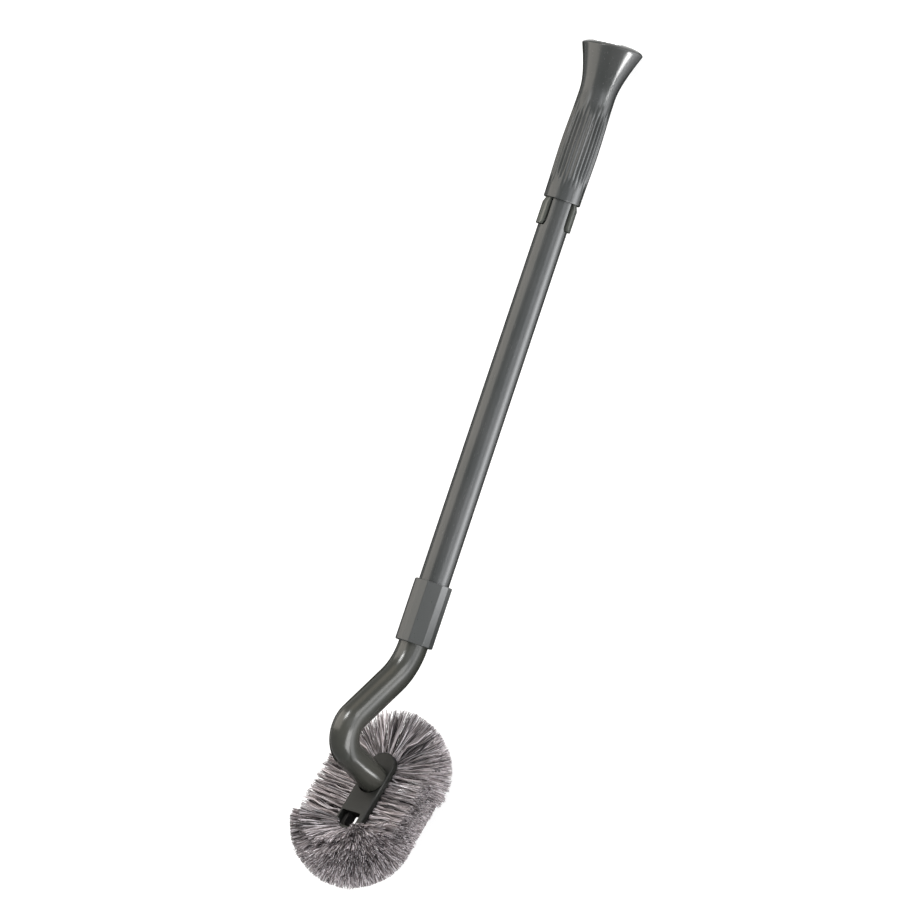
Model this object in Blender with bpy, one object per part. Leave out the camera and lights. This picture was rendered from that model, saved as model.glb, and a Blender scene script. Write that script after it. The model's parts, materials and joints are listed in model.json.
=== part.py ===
# A long-handled toilet brush with a gooseneck head, lying on its bristles and on its grip's rim.
# Metres, +Z up. The handle runs along X towards the grip, and the gooseneck bulges upwards.
# Along the handle, places are measured from the collar's foot. Each piece is one named object.

import math

import bmesh
import bpy
from mathutils import Matrix, Vector

# Fits
clearance = 0.0003
overrun = 0.0020
weld = 0.000001

# Pole
pole_reach = 0.2543
pole_top_radius = 0.00955
pole_foot_radius = 0.00992
pole_wall = 0.0015
pole_in_grip = 0.0620
pole_in_collar = 0.0185

# Grip
grip_length = 0.1015
grip_hem_radius = 0.0120
grip_belly_radius = 0.01255
grip_belly_at = 0.0340
grip_waist_radius = 0.0118
grip_waist_at = 0.0706
grip_rim_radius = 0.0197
grip_flare_ease_share = 0.55
grip_hem_bore_radius = 0.0106
grip_hem_round = 0.0006
grip_lip_width = 0.0023
grip_rim_slant = math.radians(3.9)
grip_wall = 0.0022
grip_inner_bore_radius = 0.0090
grip_shoulder_gap = 0.0012
flute_count = 26
flute_depth = 0.0005
flute_start = 0.0100
flute_end = 0.0624
flute_run_out = 0.0070

# Grip end cap and liner
end_dome = 0.0042
cap_seat_depth = 0.0022
cap_edge_round = 0.0004
cap_plug_length = 0.0060
cap_plug_wall = 0.0014
liner_setback = 0.0100
liner_top_gap = 0.0010

# Release tabs and the plug that carries them
tab_reach = 0.0176
tab_radius = 0.0114
tab_half_angle = math.radians(42)
tab_corner = 0.0040
tab_bevel = 0.0007
tab_inner_radius = 0.0056
tab_shoulder = 0.0034
tab_tail_radius = 0.0102
tab_tail = 0.0070
window_half_angle = math.radians(47)
window_end_gap = 0.0012
window_top_gap = 0.0030
lever_width = 0.0070
lever_height = 0.0050
lever_thickness = 0.0016
lever_root_at = 0.0380
lever_hinge_inset = 0.0010
carrier_length = 0.0300
carrier_flange = 0.0020
handle_roll = math.radians(-45)

# Collar, its split ring, the seal and the bush
collar_length = 0.0405
collar_corner_radius = 0.0129
collar_flat_half_angle = math.radians(22)
collar_bevel = 0.0007
collet_length = 0.0080
collet_setback = 0.0040
collet_groove_depth = 0.0010
collet_split = 0.0020
seal_gap = 0.0020
seal_section_radius = 0.0007
socket_length = 0.0380

# Gooseneck
neck_radius = 0.0096
neck_rise_radius = 0.0420
neck_rise_angle = math.radians(38.3)
neck_rise_length = 0.0373
neck_fall_radius = 0.0150
head_slope = math.radians(18)
head_drop = 0.00335
spigot_radius = 0.0062
spigot_length = 0.0350
spigot_chamfer = 0.0008

# Head plate, with places along it measured from the neck's axis
plate_heel = 0.0201
plate_toe = 0.0401
plate_half_width = 0.0104
plate_thickness = 0.0046
plate_round = 0.0008
slot_start = 0.0244
slot_end = 0.0348
slot_half_width = 0.0088
slot_corner = 0.0010
slot_toe_corner = 0.0036
block_slot_half_width = 0.0060
block_slot_end = 0.0344
block_slot_toe_corner = 0.0030

# Bristle block and pads
block_overhang = 0.0006
block_depth = 0.0080
pad_thickness = 0.0022
pad_side_height = 0.0050
pad_foot_inset = 0.0024
under_pad_thickness = 0.0020
under_pad_end = 0.0215
core_chamfer = 0.0004
under_pad_half_width = 0.0060

# Tufts and strands
tuft_pitch = 0.0070
tuft_gap = 0.0026
side_tufts = 5
end_tufts = 6
tuft_rows = 3
under_strand_length = 0.0240
strand_inset = 0.00022
strand_tip_share = 0.5
tuft_spread_share = 2.4
under_spread_share = 2.0
# Each row of tufts from the top one down: its slope and its strands' length
side_rows = ((math.radians(4), 0.0316), (math.radians(-16), 0.0304), (math.radians(-38), 0.0294))
heel_rows = ((math.radians(4), 0.0316), (math.radians(-20), 0.0326), (math.radians(-40), 0.0310))
toe_rows = ((math.radians(30), 0.0315), (math.radians(-2), 0.0310), (math.radians(-38), 0.0302))
under_tufts_along = 5
under_tufts_across = 3
under_side_slope = math.radians(12)
under_end_slope = math.radians(6)
rest_flat = 0.0005
rest_steps = 12

# Screws
neck_screw_shank = 0.0018
neck_screw_head = 0.0036
neck_screw_head_depth = 0.0020
neck_screw_bite = 0.0140
block_screw_shank = 0.0011
block_screw_head = 0.0022
block_screw_head_depth = 0.0014
block_screw_bite = 0.0018
block_screw_heel = 0.0118
block_screw_toe = 0.0175
block_screw_spread = 0.0045

# Facet counts
round_facets = 48
small_facets = 16
neck_facets = 24
neck_rise_steps = 6
neck_fall_steps = 13
seat_facets = 32
seal_facets = 8
end_facets = 12
corner_steps = 4
full_turn = 2 * math.pi

# Places that follow from the sizes above
pole_foot_at = collar_length - pole_in_collar
neck_shoulder_at = pole_foot_at - seal_gap
collet_high = neck_shoulder_at - collet_setback
collet_low = collet_high - collet_length
hem_at = collar_length + pole_reach
pole_top_at = hem_at + pole_in_grip
rim_at = hem_at + grip_length
mouth_radius = grip_rim_radius - grip_lip_width
heel_centre = plate_heel - plate_half_width
toe_centre = plate_half_width - plate_toe
block_radius = plate_half_width - block_overhang
block_top = -plate_thickness - clearance
block_foot = block_top - block_depth
core_radius = block_radius - pad_thickness - clearance
core_foot = block_foot + under_pad_thickness + clearance
wall_back_foot_radius = core_radius - core_chamfer
collar_pole_bore = pole_foot_radius + clearance
collar_neck_bore = neck_radius + clearance


def clear_scene():
    for old in list(bpy.data.objects):
        bpy.data.objects.remove(old, do_unlink=True)


def make_material(name, colour, roughness, metallic=0.0):
    material = bpy.data.materials.new(name)
    material.use_nodes = True
    shader = material.node_tree.nodes["Principled BSDF"]
    shader.inputs["Base Color"].default_value = (*colour, 1.0)
    shader.inputs["Roughness"].default_value = roughness
    shader.inputs["Metallic"].default_value = metallic
    return material


def add_object(name, bm, material, parent, location=(0, 0, 0), turn=(0, 0, 0)):
    bmesh.ops.recalc_face_normals(bm, faces=bm.faces)
    mesh = bpy.data.meshes.new(name)
    bm.to_mesh(mesh)
    bm.free()
    mesh.shade_smooth()
    mesh.set_sharp_from_angle(angle=math.radians(35))
    mesh.materials.append(material)
    piece = bpy.data.objects.new(name, mesh)
    bpy.context.collection.objects.link(piece)
    piece.parent = parent
    piece.location = location
    piece.rotation_euler = turn
    return piece


def add_empty(name, parent, location=(0, 0, 0), turn=(0, 0, 0)):
    empty = bpy.data.objects.new(name, None)
    bpy.context.collection.objects.link(empty)
    empty.parent = parent
    empty.location = location
    empty.rotation_euler = turn
    return empty


def combine(target, tool_bm, operation, label):
    bmesh.ops.recalc_face_normals(tool_bm, faces=tool_bm.faces)
    mesh = bpy.data.meshes.new(target.name + "_" + label)
    tool_bm.to_mesh(mesh)
    tool_bm.free()
    tool = bpy.data.objects.new(mesh.name, mesh)
    bpy.context.collection.objects.link(tool)
    tool.parent = target
    tool.hide_render = True
    tool.display_type = "WIRE"
    modifier = target.modifiers.new(label, "BOOLEAN")
    modifier.operation = operation
    modifier.object = tool


def revolve(profile, facets, touches_axis=False):
    bm = bmesh.new()
    points = [bm.verts.new((along, 0, radius)) for along, radius in profile]
    edges = [bm.edges.new(pair) for pair in zip(points, points[1:])]
    if not touches_axis:
        edges.append(bm.edges.new((points[-1], points[0])))
    bmesh.ops.spin(
        bm, geom=points + edges, cent=(0, 0, 0), axis=(1, 0, 0),
        angle=full_turn, steps=facets, use_merge=True)
    bmesh.ops.remove_doubles(bm, verts=bm.verts, dist=weld)
    return bm


def loft(rings, bm=None):
    bm = bm or bmesh.new()
    loops = [[bm.verts.new(point) for point in ring] for ring in rings]
    for near, far in zip(loops, loops[1:]):
        for k in range(len(near)):
            bm.faces.new((near[k - 1], near[k], far[k], far[k - 1]))
    bm.faces.new(loops[0])
    bm.faces.new(reversed(loops[-1]))
    return bm


def circle(facets):
    return [(math.cos(full_turn * k / facets), math.sin(full_turn * k / facets)) for k in range(facets)]


def rod(along_axis, start, end, radius, centre=(0, 0), facets=small_facets, bm=None):
    rings = []
    for place in (start, end):
        ring = [(centre[0] + radius * c, centre[1] + radius * s) for c, s in circle(facets)]
        if along_axis == "Z":
            rings.append([(u, v, place) for u, v in ring])
        else:
            rings.append([(place, u, v) for u, v in ring])
    return loft(rings, bm)


def rounded_outline(low, high, right, left, corners):
    # A rectangle from low to high along X and right to left along Y, as (x, y) points. Its four
    # corners' radii start at the high left one and go round by the low left one.
    points = []
    for quarter, corner in enumerate(corners):
        x = high - corner if quarter in (0, 3) else low + corner
        y = left - corner if quarter in (0, 1) else right + corner
        for k in range(corner_steps + 1):
            angle = math.pi / 2 * (quarter + k / corner_steps)
            points.append((x + corner * math.cos(angle), y + corner * math.sin(angle)))
    return points


def stadium(radius, inset=0.0):
    # The head's racetrack outline as (x, y) points, counter-clockwise from the heel's right
    reach = radius - inset
    points = []
    for centre, first in ((heel_centre, -math.pi / 2), (toe_centre, math.pi / 2)):
        for k in range(end_facets + 1):
            angle = first + math.pi * k / end_facets
            points.append((centre + reach * math.cos(angle), reach * math.sin(angle)))
    return points


def ease(low, high, share):
    return low + (high - low) * (1 - math.cos(math.pi * share)) / 2


def pole_radius(at):
    share = (at - pole_foot_at) / (pole_top_at - pole_foot_at)
    return pole_foot_radius + (pole_top_radius - pole_foot_radius) * share


def grip_radius(at):
    # The grip's outer radius at a distance above its hem
    if at < grip_belly_at:
        return ease(grip_hem_radius, grip_belly_radius, at / grip_belly_at)
    if at < grip_waist_at:
        share = (at - grip_belly_at) / (grip_waist_at - grip_belly_at)
        return ease(grip_belly_radius, grip_waist_radius, share)
    share = (at - grip_waist_at) / (grip_length - grip_waist_at)
    bend = math.hypot(share, grip_flare_ease_share) - grip_flare_ease_share
    full_bend = math.hypot(1, grip_flare_ease_share) - grip_flare_ease_share
    return grip_waist_radius + (grip_rim_radius - grip_waist_radius) * bend / full_bend


def ease_flare(share):
    return grip_waist_at + (grip_length - grip_waist_at) * share


def end_dome_point(angle):
    # The grip's end is half an ellipse across its rim, from the rim at angle 0 to the top
    return rim_at + end_dome * math.sin(angle), grip_rim_radius * math.cos(angle)


def slant_rim(bm):
    # The flared end leans a little towards the right tab's side, more and more above the waist
    waist_at = hem_at + grip_waist_at
    for vertex in bm.verts:
        sideways = vertex.co.y * math.sin(handle_roll) - vertex.co.z * math.cos(handle_roll)
        share = max(0, vertex.co.x - waist_at) / (rim_at - waist_at)
        vertex.co.x += sideways * math.tan(grip_rim_slant) * share


def flute_share(at):
    # How deep the flutes are at a distance above the hem, from 0 to 1
    into = min(at - flute_start, flute_end - at) / flute_run_out
    return ease(0, 1, max(0, min(1, into)))


def build_grip_shell(material, parent):
    flute_stations = [flute_start, flute_start + flute_run_out, (flute_start + flute_end) / 2,
                      flute_end - flute_run_out, flute_end]
    flare_stations = [ease_flare(share) for share in (0, 0.2, 0.4, 0.6, 0.8, 1)]
    outer = [(hem_at, grip_hem_radius - grip_hem_round), (hem_at + grip_hem_round, grip_hem_radius)]
    outer += [(hem_at + at, grip_radius(at)) for at in flute_stations + flare_stations]
    lip_turn = math.acos(mouth_radius / grip_rim_radius)
    outer += [end_dome_point(lip_turn * share) for share in (0.4, 1)]
    seat_at = rim_at - cap_seat_depth
    inner = [(seat_at, mouth_radius)]
    inner += [(hem_at + at, grip_radius(at) - grip_wall)
              for at in (grip_length - cap_seat_depth, ease_flare(0.6), ease_flare(0.3))]
    shoulder_at = pole_top_at + carrier_flange + grip_shoulder_gap
    inner += [(shoulder_at, grip_inner_bore_radius), (shoulder_at, grip_hem_bore_radius),
              (hem_at, grip_hem_bore_radius)]
    bm = revolve(outer + inner, 3 * flute_count)
    for vertex in bm.verts:
        along, radius = vertex.co.x, math.hypot(vertex.co.y, vertex.co.z)
        if radius < grip_hem_bore_radius + weld or along > hem_at + grip_waist_at:
            continue
        angle = math.atan2(vertex.co.y, vertex.co.z)
        wave = (1 + math.cos(flute_count * angle)) / 2
        shrink = 1 - flute_depth * flute_share(along - hem_at) * wave / radius
        vertex.co.y *= shrink
        vertex.co.z *= shrink
    slant_rim(bm)
    add_object("grip_shell", bm, material, parent)


def build_grip_end_cap(material, parent):
    cap_radius = mouth_radius - clearance
    back_at = rim_at - cap_seat_depth + clearance
    plug_end_at = back_at - cap_plug_length
    plug_radius = grip_radius(plug_end_at - hem_at) - grip_wall - clearance
    edge_angle = math.acos((cap_radius - cap_edge_round) / grip_rim_radius)
    profile = [end_dome_point(math.pi / 2 + (edge_angle - math.pi / 2) * share)
               for share in (0, 0.2, 0.4, 0.6, 0.8, 1)]
    profile[0] = (profile[0][0], 0)
    profile += [(profile[-1][0] - cap_edge_round, cap_radius), (back_at, cap_radius),
                (back_at, plug_radius), (plug_end_at, plug_radius),
                (plug_end_at, plug_radius - cap_plug_wall), (back_at, plug_radius - cap_plug_wall),
                (back_at, 0)]
    bm = revolve(profile, round_facets, True)
    slant_rim(bm)
    add_object("grip_end_cap", bm, material, parent)


def build_grip_liner(material, parent):
    low, high = hem_at + liner_setback, pole_top_at - liner_top_gap
    outer = grip_hem_bore_radius - clearance
    profile = [(low, pole_radius(low) + clearance), (low, outer), (high, outer),
               (high, pole_radius(high) + clearance)]
    add_object("grip_liner", revolve(profile, round_facets), material, parent)


def wedge(low, high, half_angle, corner, inner_height, outer_height):
    # A block that widens with its distance from the handle's axis, with round ends
    slant = math.tan(half_angle)
    half_width = outer_height * slant
    outline = rounded_outline(low, high, -half_width, half_width, [corner] * 4)
    rings = []
    for height in (inner_height, outer_height):
        rings.append([(x, y * height / outer_height, height) for x, y in outline])
    return loft(rings)


def mirrored(bm):
    # The same solid on the handle's other side
    bm.transform(Matrix.Rotation(math.pi, 4, "X"))
    return bm


def build_pole(material, parent):
    profile = [(pole_foot_at, pole_foot_radius - pole_wall), (pole_foot_at, pole_foot_radius),
               (pole_top_at, pole_top_radius), (pole_top_at, pole_top_radius - pole_wall)]
    pole = add_object("pole", revolve(profile, round_facets), material, parent, turn=(handle_roll, 0, 0))
    low = hem_at - tab_reach - window_end_gap
    high = hem_at + tab_tail + window_top_gap
    corner = tab_corner + window_end_gap
    inner_height = (pole_top_radius - pole_wall) * math.cos(window_half_angle) - overrun
    for label in ("window_left", "window_right"):
        cutter = wedge(low, high, window_half_angle, corner, inner_height, pole_foot_radius + overrun)
        if label == "window_right":
            mirrored(cutter)
        combine(pole, cutter, "DIFFERENCE", label)


def build_latch_carrier(material, parent):
    body = pole_top_radius - pole_wall - clearance
    low = pole_top_at - carrier_length
    flange_at = pole_top_at + clearance
    profile = [(low, 0), (low, body), (flange_at, body), (flange_at, pole_top_radius),
               (flange_at + carrier_flange, pole_top_radius), (flange_at + carrier_flange, 0)]
    carrier = add_object("latch_carrier", revolve(profile, round_facets, True), material, parent,
                         turn=(handle_roll, 0, 0))
    pocket_low = low - overrun
    pocket_high = hem_at + lever_root_at + clearance
    half_width = lever_width / 2 + clearance
    for label in ("pocket_left", "pocket_right"):
        rings = []
        for height in (lever_height - clearance, body + overrun):
            rings.append([(pocket_low, -half_width, height), (pocket_high, -half_width, height),
                          (pocket_high, half_width, height), (pocket_low, half_width, height)])
        cutter = loft(rings)
        if label == "pocket_right":
            mirrored(cutter)
        combine(carrier, cutter, "DIFFERENCE", label)


def build_release_tab(name, roll, material, parent):
    hinge_at = hem_at + lever_root_at - lever_hinge_inset
    hinge_height = lever_height + lever_thickness / 2
    low, high = hem_at - tab_reach, hem_at + tab_tail
    profile = [(low, tab_inner_radius), (low, tab_radius - tab_bevel), (low + tab_bevel, tab_radius),
               (hem_at - tab_shoulder, tab_radius), (hem_at - clearance, tab_tail_radius),
               (high, tab_tail_radius), (high, tab_inner_radius)]
    shift = Vector((-hinge_at, 0, -hinge_height))
    pad = revolve(profile, round_facets)
    bmesh.ops.translate(pad, verts=pad.verts, vec=shift)
    pivot_height = Vector((0, -math.sin(roll) * hinge_height, math.cos(roll) * hinge_height))
    tab = add_object(name, pad, material, parent,
                     location=(hinge_at, pivot_height.y, pivot_height.z), turn=(roll, 0, 0))
    inner_height = tab_inner_radius * math.cos(tab_half_angle) - overrun
    shape = wedge(low, high + overrun, tab_half_angle, tab_corner, inner_height, tab_radius + overrun)
    bmesh.ops.translate(shape, verts=shape.verts, vec=shift)
    combine(tab, shape, "INTERSECT", "outline")
    half_width = lever_width / 2
    lever_low = (low + high) / 2
    lever_high = hem_at + lever_root_at
    rings = []
    for height in (lever_height, lever_height + lever_thickness):
        rings.append([(lever_low, -half_width, height), (lever_high, -half_width, height),
                      (lever_high, half_width, height), (lever_low, half_width, height)])
    lever = loft(rings)
    bmesh.ops.translate(lever, verts=lever.verts, vec=shift)
    combine(tab, lever, "UNION", "lever")


def build_lock_collar(material, parent):
    # Four main flats with a pair of narrower ones between each two
    angles = []
    for quarter in range(4):
        middle = full_turn * quarter / 4
        angles += [middle - collar_flat_half_angle, middle + collar_flat_half_angle,
                   middle + math.pi / 4]
    rings = []
    for at, radius in ((0, collar_corner_radius - collar_bevel), (collar_bevel, collar_corner_radius),
                       (collar_length - collar_bevel, collar_corner_radius),
                       (collar_length, collar_corner_radius - collar_bevel)):
        rings.append([(at, radius * math.sin(angle), radius * math.cos(angle)) for angle in angles])
    collar = add_object("lock_collar", loft(rings), material, parent, turn=(handle_roll, 0, 0))
    bore = revolve([(-overrun, 0), (-overrun, collar_neck_bore), (neck_shoulder_at, collar_neck_bore),
                    (neck_shoulder_at, collar_pole_bore), (collar_length + overrun, collar_pole_bore),
                    (collar_length + overrun, 0)], round_facets, True)
    combine(collar, bore, "DIFFERENCE", "bore")


def build_collet_ring(material, parent):
    inner = neck_radius - collet_groove_depth + clearance
    low, high = collet_low + clearance, collet_high - clearance
    ring = add_object("collet_ring",
                      revolve([(low, inner), (low, neck_radius), (high, neck_radius), (high, inner)],
                              round_facets), material, parent)
    half_split = collet_split / 2
    rings = []
    for at in (low - overrun, high + overrun):
        rings.append([(at, -half_split, 0), (at, half_split, 0),
                      (at, half_split, -neck_radius - overrun), (at, -half_split, -neck_radius - overrun)])
    combine(ring, loft(rings), "DIFFERENCE", "split")


def build_seal_ring(material, parent):
    middle_at = pole_foot_at - seal_gap / 2
    middle_radius = neck_radius - clearance - seal_section_radius
    profile = [(middle_at + seal_section_radius * c, middle_radius + seal_section_radius * s)
               for c, s in circle(seal_facets)]
    add_object("seal_ring", revolve(profile, round_facets // 2), material, parent)


def build_pole_socket(material, parent):
    low, high = pole_foot_at + clearance, pole_foot_at + socket_length
    bore = spigot_radius + clearance
    profile = [(low, bore), (low, pole_radius(low) - pole_wall - clearance),
               (high, pole_radius(high) - pole_wall - clearance), (high, bore)]
    add_object("pole_socket", revolve(profile, round_facets), material, parent)


def neck_path():
    # Where along the handle the neck's axis meets the plate, and how steeply it comes down there
    fall_angle = math.pi / 2 - head_slope
    along = neck_rise_radius * math.sin(neck_rise_angle) + neck_rise_length * math.cos(neck_rise_angle)
    up = neck_rise_radius * (1 - math.cos(neck_rise_angle)) + neck_rise_length * math.sin(neck_rise_angle)
    along += neck_fall_radius * (math.sin(neck_rise_angle) + math.sin(fall_angle))
    up += neck_fall_radius * (math.cos(fall_angle) - math.cos(neck_rise_angle))
    last = (up + head_drop) / math.sin(fall_angle)
    return along + last * math.cos(fall_angle), fall_angle


def build_neck_tube(material, parent):
    # Stations along the neck's axis: along, up, the axis's slope and the radius there
    head_at, fall_angle = neck_path()
    tip_at = pole_foot_at + spigot_length
    groove = neck_radius - collet_groove_depth
    straight = [(tip_at, spigot_radius - spigot_chamfer), (tip_at - spigot_chamfer, spigot_radius),
                (neck_shoulder_at, spigot_radius), (neck_shoulder_at, neck_radius), (collet_high, neck_radius),
                (collet_high, groove), (collet_low, groove), (collet_low, neck_radius), (0, neck_radius)]
    stations = [(-at, 0, 0, radius) for at, radius in straight]
    for k in range(1, neck_rise_steps + 1):
        angle = neck_rise_angle * k / neck_rise_steps
        stations.append((neck_rise_radius * math.sin(angle), neck_rise_radius * (1 - math.cos(angle)),
                         angle, neck_radius))
    crest_along = stations[-1][0] + neck_rise_length * math.cos(neck_rise_angle)
    crest_up = stations[-1][1] + neck_rise_length * math.sin(neck_rise_angle)
    for k in range(neck_fall_steps + 1):
        angle = neck_rise_angle - (neck_rise_angle + fall_angle) * k / neck_fall_steps
        stations.append((crest_along + neck_fall_radius * (math.sin(neck_rise_angle) - math.sin(angle)),
                         crest_up + neck_fall_radius * (math.cos(angle) - math.cos(neck_rise_angle)),
                         angle, neck_radius))
    stations.append((head_at + plate_thickness * math.cos(fall_angle),
                     -head_drop - plate_thickness * math.sin(fall_angle), -fall_angle, neck_radius))
    rings = []
    for along, up, slope, radius in stations:
        ring = []
        for c, s in circle(neck_facets):
            ring.append((-along + radius * c * math.sin(slope), radius * s, up + radius * c * math.cos(slope)))
        rings.append(ring)
    neck = add_object("neck_tube", loft(rings), material, parent)
    pilot = rod("Z", -plate_thickness - overrun, neck_screw_bite - plate_thickness,
                neck_screw_shank + clearance)
    pilot.transform(head_matrix())
    combine(neck, pilot, "DIFFERENCE", "pilot")


def head_matrix():
    head_at = neck_path()[0]
    return Matrix.Translation((-head_at, 0, -head_drop)) @ Matrix.Rotation(head_slope, 4, "Y")


def screw_places():
    return [(x, y * block_screw_spread) for x in (block_screw_heel, -block_screw_toe) for y in (-1, 1)]


def drain_slot(low, high, end, half_width, toe_corner):
    outline = rounded_outline(-end, -slot_start, -half_width, half_width,
                              (slot_corner, toe_corner, toe_corner, slot_corner))
    return loft([[(x, y, z) for x, y in outline] for z in (low, high)])


def build_head_plate(material, head):
    rings = []
    for inset, z in ((plate_round, 0), (plate_round * 0.3, -plate_round * 0.3), (0, -plate_round),
                     (0, -plate_thickness)):
        rings.append([(x, y, z) for x, y in stadium(plate_half_width, inset)])
    plate = add_object("head_plate", loft(rings), material, head)
    seat = rod("Z", -plate_thickness - overrun, overrun, neck_radius + clearance, facets=seat_facets)
    combine(plate, seat, "DIFFERENCE", "seat")
    slot = drain_slot(-plate_thickness - overrun, overrun, slot_end, slot_half_width, slot_toe_corner)
    combine(plate, slot, "DIFFERENCE", "slot")
    pilots = bmesh.new()
    for place in screw_places():
        rod("Z", -plate_thickness - overrun, block_screw_bite + clearance - plate_thickness,
            block_screw_shank + clearance, place, bm=pilots)
    combine(plate, pilots, "DIFFERENCE", "pilots")


def build_bristle_block(material, head):
    rings = []
    for inset, z in ((0, block_top), (0, core_foot + core_chamfer), (core_chamfer, core_foot)):
        rings.append([(x, y, z) for x, y in stadium(core_radius, inset)])
    block = add_object("bristle_block", loft(rings), material, head)
    slot = drain_slot(core_foot - overrun, block_top + overrun, block_slot_end,
                      block_slot_half_width, block_slot_toe_corner)
    combine(block, slot, "DIFFERENCE", "slot")
    holes = bmesh.new()
    rod("Z", core_foot - overrun, block_top + overrun, neck_screw_shank + clearance, bm=holes)
    for place in screw_places():
        rod("Z", core_foot - overrun, block_top + overrun, block_screw_shank + clearance, place, bm=holes)
    combine(block, holes, "DIFFERENCE", "holes")
    recesses = bmesh.new()
    rod("Z", core_foot - overrun, core_foot + neck_screw_head_depth + clearance,
        neck_screw_head + clearance, bm=recesses)
    for place in screw_places():
        rod("Z", core_foot - overrun, core_foot + block_screw_head_depth + clearance,
            block_screw_head + clearance, place, bm=recesses)
    combine(block, recesses, "DIFFERENCE", "recesses")


def build_screw(name, place, head_radius, head_depth, shank_radius, tip, material, head):
    # A pan head below and a shank up to the tip, as one solid of stacked rings
    rings = []
    for radius, z in ((head_radius, 0), (head_radius, head_depth), (shank_radius, head_depth),
                      (shank_radius, tip - core_foot)):
        rings.append([(radius * c, radius * s, z) for c, s in circle(small_facets)])
    add_object(name, loft(rings), material, head, location=(*place, core_foot))


def build_screws(material, head):
    build_screw("neck_screw", (0, 0), neck_screw_head, neck_screw_head_depth, neck_screw_shank,
                neck_screw_bite - plate_thickness - clearance, material, head)
    for k, place in enumerate(screw_places()):
        build_screw("block_screw_%d" % (k + 1), place, block_screw_head, block_screw_head_depth,
                    block_screw_shank, block_screw_bite - plate_thickness, material.copy(), head)


def add_tufted_pad(name, outer, inner, tuft_of_cell, tufts, spread_share, material, head):
    # A slice of backing between two grids of points, with the strands grown from the outer one.
    # Each cell of the outer grid has a tuft's number or None, and a tuft is (root, tip).
    bm = bmesh.new()
    layer = bm.faces.layers.int.new("tuft")
    across, along = len(outer), len(outer[0])
    skin = [[bm.verts.new(point) for point in column] for column in outer]
    back = [[bm.verts.new(point) for point in column] for column in inner]
    backs = {vertex for column in back for vertex in column}
    seeds = []
    for i in range(across - 1):
        for j in range(along - 1):
            face = bm.faces.new((skin[i][j], skin[i + 1][j], skin[i + 1][j + 1], skin[i][j + 1]))
            bm.faces.new((back[i][j], back[i][j + 1], back[i + 1][j + 1], back[i + 1][j]))
            if tuft_of_cell[i][j] is not None:
                face[layer] = tuft_of_cell[i][j] + 1
                seeds.append(face)
    for i in range(across - 1):
        for j in (0, along - 1):
            bm.faces.new((skin[i][j], skin[i + 1][j], back[i + 1][j], back[i][j]))
    for j in range(along - 1):
        for i in (0, across - 1):
            bm.faces.new((skin[i][j], skin[i][j + 1], back[i][j + 1], back[i][j]))
    bmesh.ops.recalc_face_normals(bm, faces=bm.faces)
    inner_edges = [edge for edge in bm.edges if backs.issuperset(edge.verts) and not edge.is_boundary]
    bmesh.ops.dissolve_limit(bm, angle_limit=math.radians(1), verts=[], edges=inner_edges)
    bmesh.ops.inset_individual(bm, faces=seeds, thickness=strand_inset, use_even_offset=True)
    caps = bmesh.ops.extrude_discrete_faces(bm, faces=seeds)["faces"]
    for cap in caps:
        root, tip = tufts[cap[layer] - 1]
        middle = cap.calc_center_median()
        end = tip + (middle - root) * spread_share
        for vertex in cap.verts:
            vertex.co = end + (vertex.co - middle) * strand_tip_share
    return add_object(name, bm, material, head)


def wall_section():
    # The block's side from its top to its foot, as (radius, z) points with two cells a tuft row
    side_foot = block_top - pad_side_height
    cells = 2 * (tuft_rows - 1)
    points = [(block_radius, block_top - pad_side_height * k / cells) for k in range(cells + 1)]
    foot_radius = block_radius - pad_foot_inset
    points.append(((block_radius + foot_radius) / 2, (side_foot + block_foot) / 2))
    points.append((foot_radius, block_foot))
    return points


def wall_back():
    # The pad's inner side, level for level with the outer one
    back_radius = block_radius - pad_thickness
    levels = [z for radius, z in wall_section()]
    points = [(back_radius, z) for z in levels[:-2]]
    points.append(((back_radius + wall_back_foot_radius) / 2, levels[-2]))
    points.append((wall_back_foot_radius, levels[-1]))
    return points


def tuft_columns(count, pitch, gap):
    # Cell borders along a row of tufts, and each cell's tuft or None
    cell = (pitch - gap) / 2
    borders, owners = [0], []
    for k in range(count):
        start = k * pitch
        borders += [start + gap / 2, start + gap / 2 + cell, start + gap / 2 + 2 * cell, start + pitch]
        owners += [None, k, k, None]
    return borders, owners


def build_wall_pad(name, place, borders, owners, tuft_places, rows, material, head):
    # place(border, radius) gives a point's (x, y), and rows gives each row's slope and length
    section, back = wall_section(), wall_back()
    outer = [[Vector((*place(border, radius), z)) for radius, z in section] for border in borders]
    inner = [[Vector((*place(border, radius), z)) for radius, z in back] for border in borders]
    tufts = []
    for middle in tuft_places:
        for row, (slope, length) in enumerate(rows):
            radius, z = section[2 * row + 1]
            root = Vector((*place(middle, radius), z))
            outward = Vector((*place(middle, radius + overrun), z)) - root
            heading = outward.normalized() * math.cos(slope) + Vector((0, 0, math.sin(slope)))
            tufts.append((root, root + heading * length))
    owner_grid = []
    for owner in owners:
        column = [None if owner is None else owner * tuft_rows + j // 2 for j in range(2 * tuft_rows)]
        owner_grid.append(column)
    return add_tufted_pad(name, outer, inner, owner_grid, tufts, tuft_spread_share, material, head)


def build_side_pad(name, side, material, head):
    length = heel_centre - toe_centre
    pitch = (length - clearance) / side_tufts
    borders, owners = tuft_columns(side_tufts, pitch, tuft_gap)
    start = heel_centre - clearance / 2
    middles = [pitch * (k + 0.5) for k in range(side_tufts)]
    return build_wall_pad(name, lambda border, radius: (start - border, side * radius),
                          borders, owners, middles, side_rows, material, head)


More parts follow.
